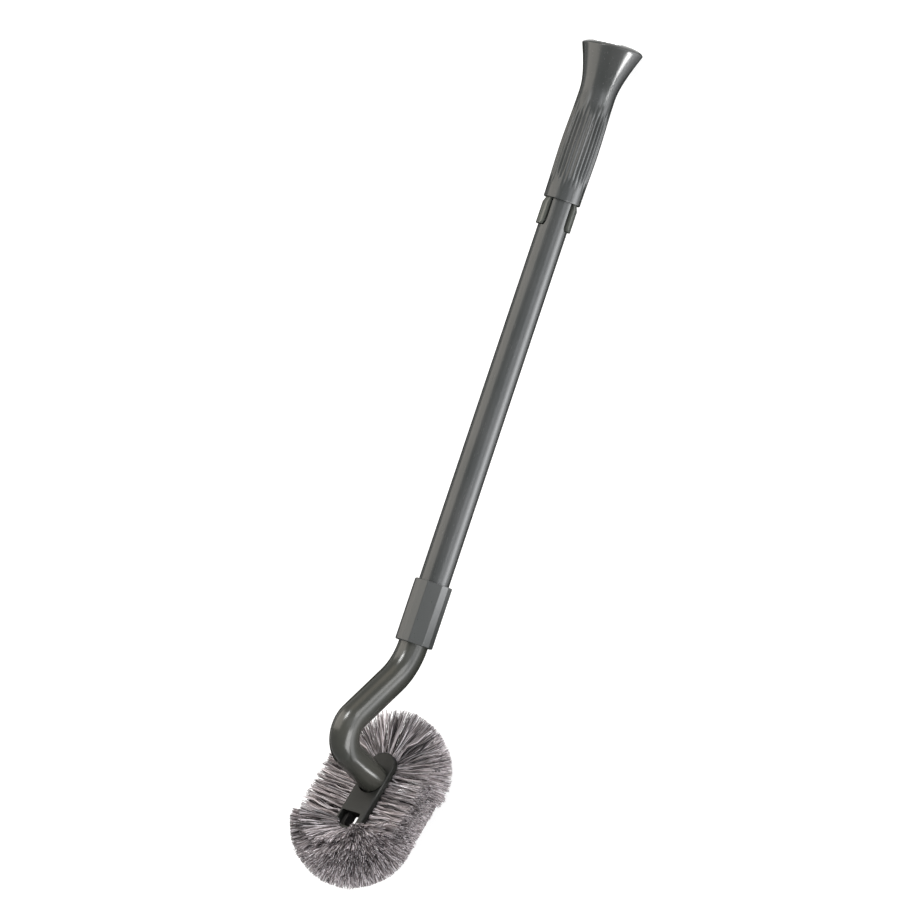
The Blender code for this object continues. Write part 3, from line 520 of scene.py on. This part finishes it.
def cutFlutes(bm):
    for vert in bm.verts:
        along, radius = vert.co.x, math.hypot(vert.co.y, vert.co.z)
        at = along - grip["hemAt"]
        if radius < grip["hemBore"] + 1e-5 or at > grip["waistAt"]:  # the bore and the flare
            continue
        into = min(at - grip["fluteStart"], grip["fluteEnd"] - at) / grip["fluteRunOut"]
        depth = grip["fluteDepth"] * eased(0, 1, max(0, min(1, into)))
        ridge = abs(math.sin(grip["flutes"] * math.atan2(vert.co.y, vert.co.z) / 2))
        shrink = 1 - depth * (1 - ridge) ** grip["fluteSharpness"] / radius
        vert.co.y, vert.co.z = vert.co.y * shrink, vert.co.z * shrink


hemTurns = [math.pi / 2 * k / 4 for k in range(5)]  # a quarter turn in four steps
outer = [(grip["hemAt"] + grip["hemRound"] * (1 - math.sin(a)),
          grip["hemRadius"] - grip["hemRound"] * (1 - math.cos(a))) for a in reversed(hemTurns)]
flareLength = grip["length"] - grip["waistAt"]
stations = [grip["loopsFrom"] + grip["loopPitch"] * k for k in range(grip["loops"])]
stations += [grip["waistAt"] + flareLength * k / grip["flareLoops"]
             for k in range(grip["flareLoops"] + 1)]
outer += [(grip["hemAt"] + at, gripRadius(at)) for at in stations]
lipTurn = math.acos(mouthRadius / grip["rimRadius"])
outer += [domePoint(lipTurn * share) for share in grip["lipShares"]]
inner = [(rimAt - grip["capDepth"], mouthRadius)]
stations = [grip["length"] - grip["capDepth"]]
stations += [grip["innerFrom"] - grip["innerPitch"] * k for k in range(grip["innerLoops"])]
inner += [(grip["hemAt"] + at, gripRadius(at) - grip["wall"]) for at in stations]
inner += [(grip["shoulderAt"], grip["innerBore"]), (grip["shoulderAt"], grip["hemBore"]),
          (grip["hemAt"], grip["hemBore"])]
bm = spinProfile(outer + inner, grip["flutes"] * grip["stepsPerFlute"])
cutFlutes(bm)
slantRim(bm)
gripShell = meshObject("gripShell", bm)
finishPiece(gripShell, handlePlace, gripAbs, "brush_body", ["grip_shell"], 40)

capRadius = mouthRadius - grip["gap"]
capBack = rimAt - grip["capDepth"] + grip["gap"]
plugEnd = capBack - grip["plugLength"]
plugRadius = gripRadius(plugEnd - grip["hemAt"]) - grip["wall"] - grip["gap"]
edgeTurn = math.acos((capRadius - grip["capEdge"]) / grip["rimRadius"])
profile = [domePoint(math.pi / 2 + (edgeTurn - math.pi / 2) * k / grip["domeLoops"])
           for k in range(grip["domeLoops"] + 1)]
profile[0] = (profile[0][0], 0)
edgeAt = profile[-1][0]
profile += [(edgeAt - grip["capEdge"] * (1 - math.cos(a)),
             capRadius - grip["capEdge"] * (1 - math.sin(a))) for a in hemTurns[1:]]
profile += [(capBack, capRadius), (capBack, plugRadius), (plugEnd, plugRadius),
            (plugEnd, plugRadius - grip["plugWall"]), (capBack, plugRadius - grip["plugWall"]),
            (capBack, 0)]
bm = spinProfile(profile, grip["capSteps"], closed=False)
slantRim(bm)
gripCap = meshObject("gripCap", bm)
finishPiece(gripCap, handlePlace, capAbs, "brush_body", ["grip_end_cap"], 40)


# The pole, with a window for each release tab
pole = dict(
    footAt=0.0220, topAt=0.3568, footRadius=0.00992, topRadius=0.00955, wall=0.0015,
    loops=40, steps=96,
    windowLow=0.2767, windowHigh=0.3048, windowHalfAngle=52, windowCorner=0.0052,
    windowFoot=0.0035,
)
profile = []
for k in range(pole["loops"] + 1):
    share = k / pole["loops"]
    profile.append((pole["footAt"] + (pole["topAt"] - pole["footAt"]) * share,
                    pole["footRadius"] + (pole["topRadius"] - pole["footRadius"]) * share))
profile += [(pole["topAt"], pole["topRadius"] - pole["wall"]),
            (pole["footAt"], pole["footRadius"] - pole["wall"])]
poleTube = meshObject("poleTube", spinProfile(profile, pole["steps"]))
poleTube.data.transform(Matrix.Rotation(tabRoll, 4, "X"))
windows = []
for turn in (tabRoll, tabRoll + math.pi):
    window = wedgeBlock(pole["windowLow"], pole["windowHigh"],
                        math.radians(pole["windowHalfAngle"]), pole["windowCorner"],
                        pole["windowFoot"], pole["footRadius"] + overrun)
    window.transform(Matrix.Rotation(turn, 4, "X"))
    windows.append(window)
cutOrJoin(poleTube, windows)
finishPiece(poleTube, handlePlace, poleAbs, "brush_body", ["pole"], 30, True)

tab = dict(
    low=0.2772, high=0.3018, radius=0.0114, tailRadius=0.0102, innerRadius=0.0056, steps=120,
    shoulder=0.0034, halfAngle=40, corner=0.0040, wedgeFoot=0.0025, edgeRound=0.0006,
    leverWidth=0.0070, leverHeight=0.0050, leverThickness=0.0016, leverTop=0.3328,
    leverCorner=0.0004,
)


def makeTab(name, turn, body, node):
    # a pad that drops to its tail under the grip's hem, on a lever that runs up inside the pole
    profile = [(tab["low"], tab["innerRadius"]), (tab["low"], tab["radius"]),
               (grip["hemAt"] - tab["shoulder"], tab["radius"]),
               (grip["hemAt"] - grip["gap"], tab["tailRadius"]),
               (tab["high"], tab["tailRadius"]), (tab["high"], tab["innerRadius"])]
    piece = meshObject(name, spinProfile(profile, tab["steps"]))
    shape = wedgeBlock(tab["low"], tab["high"] + overrun, math.radians(tab["halfAngle"]),
                       tab["corner"], tab["wedgeFoot"], tab["radius"] + overrun)
    cutOrJoin(piece, [shape], "INTERSECT")
    roundEdges(piece, tab["edgeRound"], 3, 40)
    lever = bmesh.new()
    base = roundedFace(lever, (tab["low"] + tab["high"]) / 2, tab["leverTop"],
                       -tab["leverWidth"] / 2, tab["leverWidth"] / 2, tab["leverCorner"],
                       tab["leverCorner"], 2, tab["leverHeight"])
    extrudeFace(lever, base, (0, 0, tab["leverThickness"]))
    bmesh.ops.recalc_face_normals(lever, faces=lever.faces)
    cutOrJoin(piece, [lever], "UNION")
    finishPiece(piece, handlePlace @ Matrix.Rotation(turn, 4, "X"), tabAbs, body,
                [node], 30, True)


makeTab("releaseTabLeft", tabRoll, "left_tab", "release_tab_left")
makeTab("releaseTabRight", tabRoll + math.pi, "right_tab", "release_tab_right")


# The lock collar
collar = dict(
    cornerRadius=0.0129, flatHalfAngle=22, edgeRound=0.00035, endRound=0.0007,
    neckBore=0.0099, poleBore=0.01022, stepAt=0.0200,
)


def run(edge):
    # how far an edge runs along the handle
    return abs(edge.verts[0].co.x - edge.verts[1].co.x)


# four main flats, with a pair of narrower ones between each two
bm = bmesh.new()
turns = [math.radians(90 * quarter + step) for quarter in range(4)
         for step in (-collar["flatHalfAngle"], collar["flatHalfAngle"], 45)]
foot = bm.faces.new([bm.verts.new((0, collar["cornerRadius"] * math.sin(turn),
                                   collar["cornerRadius"] * math.cos(turn))) for turn in turns])
extrudeFace(bm, foot, (handle["collarLength"], 0, 0))
bmesh.ops.recalc_face_normals(bm, faces=bm.faces)
bevelEdges(bm, [e for e in bm.edges if run(e) > handle["collarLength"] / 2],
           collar["edgeRound"], 3)
bevelEdges(bm, [e for e in bm.edges if run(e) < 1e-6], collar["endRound"], 3)
lockCollar = meshObject("lockCollar", bm)
boreTop = handle["collarLength"] + overrun
bore = spinProfile([(-overrun, 0), (-overrun, collar["neckBore"]),
                    (collar["stepAt"], collar["neckBore"]),
                    (collar["stepAt"], collar["poleBore"]), (boreTop, collar["poleBore"]),
                    (boreTop, 0)], pole["steps"], closed=False)
cutOrJoin(lockCollar, [bore])
finishPiece(lockCollar, handlePlace @ Matrix.Rotation(tabRoll, 4, "X"), collarAbs, "collar",
            ["lock_collar"], 16, True)


# The gooseneck: a wide bend, a straight and a tight bend
neck = dict(
    radius=0.0096, riseRadius=0.0420, riseAngle=38.3, riseLength=0.0373, fallRadius=0.0150,
    facets=72, riseSteps=22, fallSteps=44, plateThickness=0.0046,
    # where the spigot starts, narrows and ends, along the handle, and how thick it is there
    spigot=((0.0200, 0.0096), (0.0200, 0.0062), (0.0562, 0.0062), (0.0570, 0.0054)),
)


def extrudeRing(bm, ring, shift, radiusNow, radiusNext):
    made = bmesh.ops.extrude_edge_only(bm, edges=ring)["geom"]
    verts = [g for g in made if isinstance(g, bmesh.types.BMVert)]
    middle = sum((v.co for v in verts), Vector()) / len(verts)
    for vert in verts:
        vert.co = middle + (vert.co - middle) * radiusNext / radiusNow + shift
    return [g for g in made if isinstance(g, bmesh.types.BMEdge)]


def spinRing(bm, ring, centre, angle, steps):
    verts = list({v for e in ring for v in e.verts})
    last = bmesh.ops.spin(bm, geom=verts + ring, cent=centre, axis=(0, 1, 0), angle=angle,
                          steps=steps, use_merge=False)["geom_last"]
    return [g for g in last if isinstance(g, bmesh.types.BMEdge)]


def ringMiddle(ring):
    return sum((v.co for e in ring for v in e.verts), Vector()) / (2 * len(ring))


rise, fall = math.radians(neck["riseAngle"]), math.radians(90 - handle["headSlope"])
bm = bmesh.new()
bmesh.ops.create_circle(bm, segments=neck["facets"], radius=neck["radius"],
                        matrix=Matrix.Rotation(math.pi / 2, 4, "Y"))
start = bm.edges[:]
ring, at, radius = start, 0.0, neck["radius"]
for nextAt, nextRadius in neck["spigot"]:
    ring = extrudeRing(bm, ring, Vector((nextAt - at, 0, 0)), radius, nextRadius)
    at, radius = nextAt, nextRadius
bmesh.ops.edgeloop_fill(bm, edges=ring)
ring = spinRing(bm, start, (0, 0, neck["riseRadius"]), rise, neck["riseSteps"])
heading = Vector((-math.cos(rise), 0, math.sin(rise)))
ring = extrudeRing(bm, ring, heading * neck["riseLength"], 1, 1)
below = Vector((-math.sin(rise), 0, -math.cos(rise)))  # towards the tighter bend's centre
ring = spinRing(bm, ring, ringMiddle(ring) + below * neck["fallRadius"], -(rise + fall),
                neck["fallSteps"])
middle = ringMiddle(ring)
down = Vector((-math.cos(fall), 0, -math.sin(fall)))
last = (middle.z + handle["headDrop"]) / math.sin(fall) + neck["plateThickness"]
ring = extrudeRing(bm, ring, down * last, 1, 1)
bmesh.ops.edgeloop_fill(bm, edges=ring)
bmesh.ops.recalc_face_normals(bm, faces=bm.faces)
print("gooseneck meets the plate at", round(-(middle + down * last).x * 1000, 2), "mm")
gooseneck = meshObject("gooseneck", bm)
finishPiece(gooseneck, handlePlace, neckAbs, "brush_body", ["neck_tube"], 40)


# The head plate, with places along it measured from the neck's axis
plate = dict(
    heel=0.0201, toe=-0.0401, halfWidth=0.0104, thickness=0.0046, rimRound=0.0008,
    edgeRound=0.0003, seatRadius=0.0099, seatDepth=0.02,
    slotStart=-0.0244, slotEnd=-0.0348, slotRight=-0.0066, slotLeft=0.0088, slotCorner=0.0010,
    slotToeCorner=0.0036, slotFrom=0.004, slotDepth=0.012,
)
bm = racetrackBlock(plate["toe"], plate["heel"], plate["halfWidth"], 0.0, -plate["thickness"], 28)
bevelEdges(bm, [e for e in bm.edges if all(abs(v.co.z) < 1e-6 for v in e.verts)],
           plate["rimRound"], 4)
headPlate = meshObject("headPlate", bm)
seat = bmesh.new()
bmesh.ops.create_cone(seat, cap_ends=True, segments=96, radius1=plate["seatRadius"],
                      radius2=plate["seatRadius"], depth=plate["seatDepth"])
slot = bmesh.new()
slotFace = roundedFace(slot, plate["slotEnd"], plate["slotStart"], plate["slotRight"],
                       plate["slotLeft"], plate["slotToeCorner"], plate["slotCorner"], 8,
                       plate["slotFrom"])
extrudeFace(slot, slotFace, (0, 0, -plate["slotDepth"]))
bmesh.ops.recalc_face_normals(slot, faces=slot.faces)
cutOrJoin(headPlate, [seat, slot])
roundEdges(headPlate, plate["edgeRound"], 2, 50)
finishPiece(headPlate, headPlace, platePp, "brush_body", ["head_plate"], 30,
            True)


# The backing under the plate, which holds the tufts
backing = dict(
    radius=0.0098, heelCentre=0.0097, toeCentre=-0.0297, top=-0.0049, sideFoot=-0.0099,
    foot=-0.0129, footInset=0.0024, footBand=0.0006, wall=0.0022,
    underLow=-0.0215, underHigh=0.0124, underHalfWidth=0.0060, underTop=-0.0109,
    underCorner=0.001,
)
bm = racetrackBlock(backing["toeCentre"] - backing["radius"],
                    backing["heelCentre"] + backing["radius"], backing["radius"],
                    backing["top"], backing["sideFoot"], 16)
top = max(bm.faces, key=lambda face: face.calc_center_median().z)
bottom = min(bm.faces, key=lambda face: face.calc_center_median().z)
bmesh.ops.inset_region(bm, faces=[bottom], thickness=backing["footInset"], use_even_offset=True)
bmesh.ops.translate(bm, vec=(0, 0, backing["foot"] - backing["sideFoot"]), verts=bottom.verts)
bmesh.ops.inset_region(bm, faces=[bottom], thickness=backing["footBand"], use_even_offset=True)
bmesh.ops.inset_region(bm, faces=[top], thickness=backing["wall"], use_even_offset=True)
lip = [e for f in (top, bottom) for e in f.edges]
bmesh.ops.delete(bm, geom=[top, bottom], context="FACES_ONLY")
bmesh.ops.bridge_loops(bm, edges=lip)
slab = roundedFace(bm, backing["underLow"], backing["underHigh"], -backing["underHalfWidth"],
                   backing["underHalfWidth"], backing["underCorner"], backing["underCorner"], 3,
                   backing["underTop"])
extrudeFace(bm, slab, (0, 0, backing["foot"] - backing["underTop"]))
bmesh.ops.recalc_face_normals(bm, faces=bm.faces)
tuftBacking = meshObject("tuftBacking", bm)
finishPiece(tuftBacking, headPlace, backingPp, "brush_body")


# The bristles
bristle = dict(
    strandMm=0.42,  # real strands are nearer 0.2 mm, too fine to show here
    # each row's height and radius at the wall, then slope and length on the sides, heel and toe
    rowHeights=(-0.0063, -0.0081, -0.0099, -0.0114), rowRadii=(0.0098, 0.0098, 0.0098, 0.0088),
    stagger=(0.5, 0.98),  # every other row's tufts stand between those above
    side=dict(tufts=8, strands=100, fan=4, slopes=(4, -10, -24, -38),
              lengths=(0.0316, 0.0308, 0.0300, 0.0294)),
    heel=dict(firstTurn=-95, arc=189, tufts=10, strands=80, fan=12, slopes=(4, -12, -27, -40),
              lengths=(0.0316, 0.0322, 0.0324, 0.0310)),
    toe=dict(firstTurn=107, arc=163, tufts=10, strands=80, fan=12, slopes=(30, 8, -15, -38),
             lengths=(0.0315, 0.0313, 0.0309, 0.0302)),
    # the crown rises through the plate's toe end, which it hides: radius, slope and length
    crown=dict(height=-0.0015, arc=150, tufts=6, strands=100, fan=13,
               rows=((0.0088, 22, 0.0300), (0.0084, 40, 0.0258))),
    under=dict(along=6, across=3, strands=100, length=0.0240, fan=8, sideSlope=12, endSlope=6,
               hole=0.0016, sunk=0.0004),
    # how deep roots are sunk, where strands are cut above the floor and from what steepness
    sunk=0.0006, floorGap=0.0016, floorSlope=0.1,
    upFan=9, fanShare=5,  # a fan is fully open after a fifth of the strand
    holeWidth=0.0016, holeHeight=0.0012, fatWidth=0.0023, fatHeight=0.0026, swell=0.022,
    clumps=7, clumpTurn=0.3, clumpBend=0.0007, clumpWave=0.00090, clumpTrim=0.00012,
    strandBend=0.0004, strandWave=0.00016, strandTrim=0.00014, crimps=(0.9, 2.0), mostBent=1.5,
    tone=0.56, clumpTone=0.24, tuftTone=0.08, strandTone=0.12,
    shade=0.42,  # painted shade: the strands under a clump are drawn this much darker, standing in for the shade in the creases between clumps
)
# along a strand: its points, how far its clump draws it in, how strongly it waves, its thickness
shares = [0, 0.03, 0.08, 0.20, 0.40, 0.60, 0.80, 1]
gathers = [0.05, 0.12, 0.34, 0.66, 0.74, 0.64, 0.44, 0.22]
waves = [0, 0.15, 0.45, 0.95, 1, 0.75, 0.50, 0.35]
girths = [0.85, 0.95, 1, 1, 1, 1, 0.92, 0.75]
pointsAround = 4  # a strand is square across
anyTurn = (0, 6.28)
seedTurn = 2.4  # about the golden angle, in radians


def softWave(dice, bend, wave):
    # a bend that grows along a strand and a wave, as an offset for each of its points
    most = bristle["mostBent"]
    reachU, reachV, crimp = [max(-most, min(most, dice.gauss(0, 1))) * size
                             for size in (bend, bend, wave)]
    turns = dice.uniform(*bristle["crimps"])
    phase, lean = dice.uniform(*anyTurn), dice.uniform(*anyTurn)
    offsets = []
    for share, strength in zip(shares, waves):
        swing = crimp * strength * math.sin(2 * math.pi * turns * share + phase)
        offsets.append((reachU * share ** 2 + swing * math.cos(lean),
                        reachV * share ** 2 + swing * math.sin(lean)))
    return offsets


def discPoint(k, count, turn):
    # the k-th of some points spread evenly over a disc, as seeds are in a sunflower
    out = math.sqrt((k + 0.5) / count)
    return out * math.cos(turn + seedTurn * k), out * math.sin(turn + seedTurn * k)


def makeClumps(dice, firstTurn, tuftTone):
    # each clump's place in the tuft's disc, its wave, its trim and its tone
    clumps = []
    for k in range(bristle["clumps"]):
        turn = firstTurn + dice.uniform(-bristle["clumpTurn"], bristle["clumpTurn"])
        u, v = discPoint(k, bristle["clumps"], turn)
        clumps.append((u, v, softWave(dice, bristle["clumpBend"], bristle["clumpWave"]),
                       dice.gauss(0, bristle["clumpTrim"]),
                       dice.gauss(bristle["tone"], bristle["clumpTone"]) + tuftTone))
    return clumps


def trimmedLength(tuft, u, v, length, headTurn):
    # a strand that would pass through the floor, on which the brush rests, is cut off above it
    leanU, leanV = u * tuft["fan"][0], v * tuft["fan"][1]
    toTip = ((tuft["heading"] * math.cos(leanU) + tuft["side"] * math.sin(leanU))
             * math.cos(leanV) + tuft["heading"].cross(tuft["side"]) * math.sin(leanV))
    drop = -(headTurn @ toTip).z
    if drop > bristle["floorSlope"]:
        length = min(length, ((headPlace @ tuft["root"]).z - bristle["floorGap"]) / drop)
    return length


def strandPoints(tuft, u, v, clumpU, clumpV, clumpWave, ownWave, length):
    # flat coordinates of a curve's points, each with its weight of 1
    upward = tuft["heading"].cross(tuft["side"])
    coords = []
    for share, gather, (waveU, waveV), (ownU, ownV) in zip(shares, gathers, clumpWave, ownWave):
        swell = 1 - math.exp(-share / bristle["swell"])
        width, height = [hole + (fat - hole) * swell
                         for hole, fat in zip(tuft["hole"], tuft["fat"])]
        atU, atV = u + (clumpU - u) * gather, v + (clumpV - v) * gather
        turnU, turnV = [at * fan * min(1, bristle["fanShare"] * share)
                        for at, fan in zip((atU, atV), tuft["fan"])]
        reach = length * share
        ahead = reach * math.cos(turnU) * math.cos(turnV) - atU * width * math.sin(turnU)
        across = atU * width * math.cos(turnU) + reach * math.sin(turnU) * math.cos(turnV)
        point = (tuft["root"] + tuft["heading"] * ahead + tuft["side"] * (across + waveU + ownU)
                 + upward * (atV * height + reach * math.sin(turnV) + waveV + ownV))
        coords += [*point, 1.0]
    return coords


def growBristles(name, tufts, nodes, seed):
    # Each tuft is a dictionary: root, heading, side, length, hole and fat half-sizes and fans.
    # Clumps draw their strands together and wave as one, which opens dark creases between them.
    dice, headTurn = random.Random(seed), headPlace.to_3x3()
    curve = bpy.data.curves.new(name, "CURVE")
    curve.dimensions, curve.bevel_depth = "3D", bristle["strandMm"] / 2000
    curve.bevel_resolution, curve.use_fill_caps = 0, True
    tonesWithShade = []
    for tuft in tufts:
        tuftTone = dice.uniform(-bristle["tuftTone"], bristle["tuftTone"])
        firstTurn = dice.uniform(*anyTurn)
        clumps = makeClumps(dice, firstTurn, tuftTone)
        for k in range(tuft["strands"]):
            u, v = discPoint(k, tuft["strands"], firstTurn)
            clumpU, clumpV, clumpWave, trim, tone = min(
                clumps, key=lambda clump: math.hypot(clump[0] - u, clump[1] - v))
            ownWave = softWave(dice, bristle["strandBend"], bristle["strandWave"])
            length = tuft["length"] + trim + dice.gauss(0, bristle["strandTrim"])
            length = trimmedLength(tuft, u, v, length, headTurn)
            strand = curve.splines.new("POLY")
            strand.points.add(len(shares) - 1)
            strand.points.foreach_set("co", strandPoints(tuft, u, v, clumpU, clumpV, clumpWave,
                                                         ownWave, length))
            strand.points.foreach_set("radius", girths)
            under = (clumpV - v) * math.sqrt(bristle["clumps"])  # 1 at a clump's lowest strand
            # painted shade: a strand low in its clump is drawn darker, as if in the shade of the
            # crease
            tone += dice.gauss(0, bristle["strandTone"]) - bristle["shade"] * under
            tonesWithShade.append(min(1, max(0, tone)))
    drawn = bpy.data.objects.new(name + "Curve", curve)
    bpy.context.collection.objects.link(drawn)
    graph = bpy.context.evaluated_depsgraph_get()
    mesh = bpy.data.meshes.new_from_object(drawn.evaluated_get(graph))
    bpy.data.objects.remove(drawn, do_unlink=True)
    perStrand = len(mesh.vertices) // len(tonesWithShade)
    assert perStrand * len(tonesWithShade) == len(mesh.vertices), "every strand has the same points"
    tone = mesh.attributes.new("strandTone", "FLOAT", "POINT")
    tone.data.foreach_set("value", [t for t in tonesWithShade for _ in range(perStrand)])
    reaches = [shares[min(k // pointsAround, len(shares) - 1)] for k in range(perStrand)]
    reach = mesh.attributes.new("strandReach", "FLOAT", "POINT")
    reach.data.foreach_set("value", reaches * len(tonesWithShade))
    piece = bpy.data.objects.new(name, mesh)
    bpy.context.collection.objects.link(piece)
    finishPiece(piece, headPlace, filamentNylon, "brush_body", nodes, 80)
    print(name, len(tonesWithShade), "strands of", perStrand, "points")


def makeTuft(centre, outward, side, height, radius, slope, length, fan, strands):
    # a tuft that leaves the wall at a radius and height, its slope measured up from level
    angle = math.radians(slope)
    return dict(
        root=centre + outward * (radius - bristle["sunk"]) + Vector((0, 0, height)),
        heading=outward * math.cos(angle) + Vector((0, 0, math.sin(angle))), side=side,
        length=length + bristle["sunk"], hole=(bristle["holeWidth"], bristle["holeHeight"]),
        fat=(bristle["fatWidth"], bristle["fatHeight"]), strands=strands,
        fan=(math.radians(fan), math.radians(bristle["upFan"])))


def eachTuft(look):
    # each tuft's step along its row, then its height, radius, slope and length
    rows = zip(bristle["rowHeights"], bristle["rowRadii"], look["slopes"], look["lengths"])
    for row, place in enumerate(rows):
        for k in range(look["tufts"]):
            yield k + bristle["stagger"][row % 2], place


def sideTufts(sign):
    look = bristle["side"]
    pitch = (backing["heelCentre"] - backing["toeCentre"]) / look["tufts"]
    return [makeTuft(Vector((backing["heelCentre"] - pitch * step, 0, 0)), Vector((0, sign, 0)),
                     Vector((-sign, 0, 0)), *place, look["fan"], look["strands"])
            for step, place in eachTuft(look)]


def arcTuft(centre, turn, *place):
    outward = Vector((math.cos(turn), math.sin(turn), 0))
    return makeTuft(Vector((centre, 0, 0)), outward, Vector((-outward.y, outward.x, 0)), *place)


def endTufts(centre, look):
    firstTurn, arc = math.radians(look["firstTurn"]), math.radians(look["arc"])
    return [arcTuft(centre, firstTurn + arc * step / look["tufts"], *place, look["fan"],
                    look["strands"])
            for step, place in eachTuft(look)]


def crownTufts():
    look = bristle["crown"]
    arc = math.radians(look["arc"])
    return [arcTuft(backing["toeCentre"], math.pi + arc * ((k + 0.5) / look["tufts"] - 0.5),
                    look["height"], *row, look["fan"], look["strands"])
            for row in look["rows"] for k in range(look["tufts"])]


def underTufts():
    look, tufts = bristle["under"], []
    pitchAlong = (backing["underHigh"] - backing["underLow"]) / look["along"]
    pitchAcross = 2 * backing["underHalfWidth"] / look["across"]
    for i in range(look["along"]):
        for j in range(look["across"]):
            leanAlong = math.radians(look["endSlope"] * (1 - 2 * i / (look["along"] - 1)))
            leanAcross = math.radians(look["sideSlope"] * (2 * j / (look["across"] - 1) - 1))
            tufts.append(dict(
                root=Vector((backing["underHigh"] - pitchAlong * (i + 0.5),
                             pitchAcross * (j + 0.5) - backing["underHalfWidth"],
                             backing["foot"] + look["sunk"])),
                heading=Vector((math.tan(leanAlong), math.tan(leanAcross), -1)).normalized(),
                side=Vector((1, 0, 0)), length=look["length"], hole=(look["hole"],) * 2,
                fat=(bristle["fatWidth"],) * 2, strands=look["strands"],
                fan=(math.radians(look["fan"]),) * 2))
    return tufts


for name, tufts, nodes, seed in (
        ("bristlesLeft", sideTufts(1), ["bristles_left"], 11),
        ("bristlesRight", sideTufts(-1), ["bristles_right"], 22),
        ("bristlesHeel", endTufts(backing["heelCentre"], bristle["heel"]), ["bristles_heel"], 23),
        ("bristlesToe", endTufts(backing["toeCentre"], bristle["toe"]), ["bristles_toe"], 14),
        ("bristlesCrown", crownTufts(), (), 16),
        ("bristlesUnder", underTufts(), ["bristles_under"], 15)):
    growBristles(name, tufts, nodes, seed)


bpy.context.scene.view_settings.view_transform = "Standard"
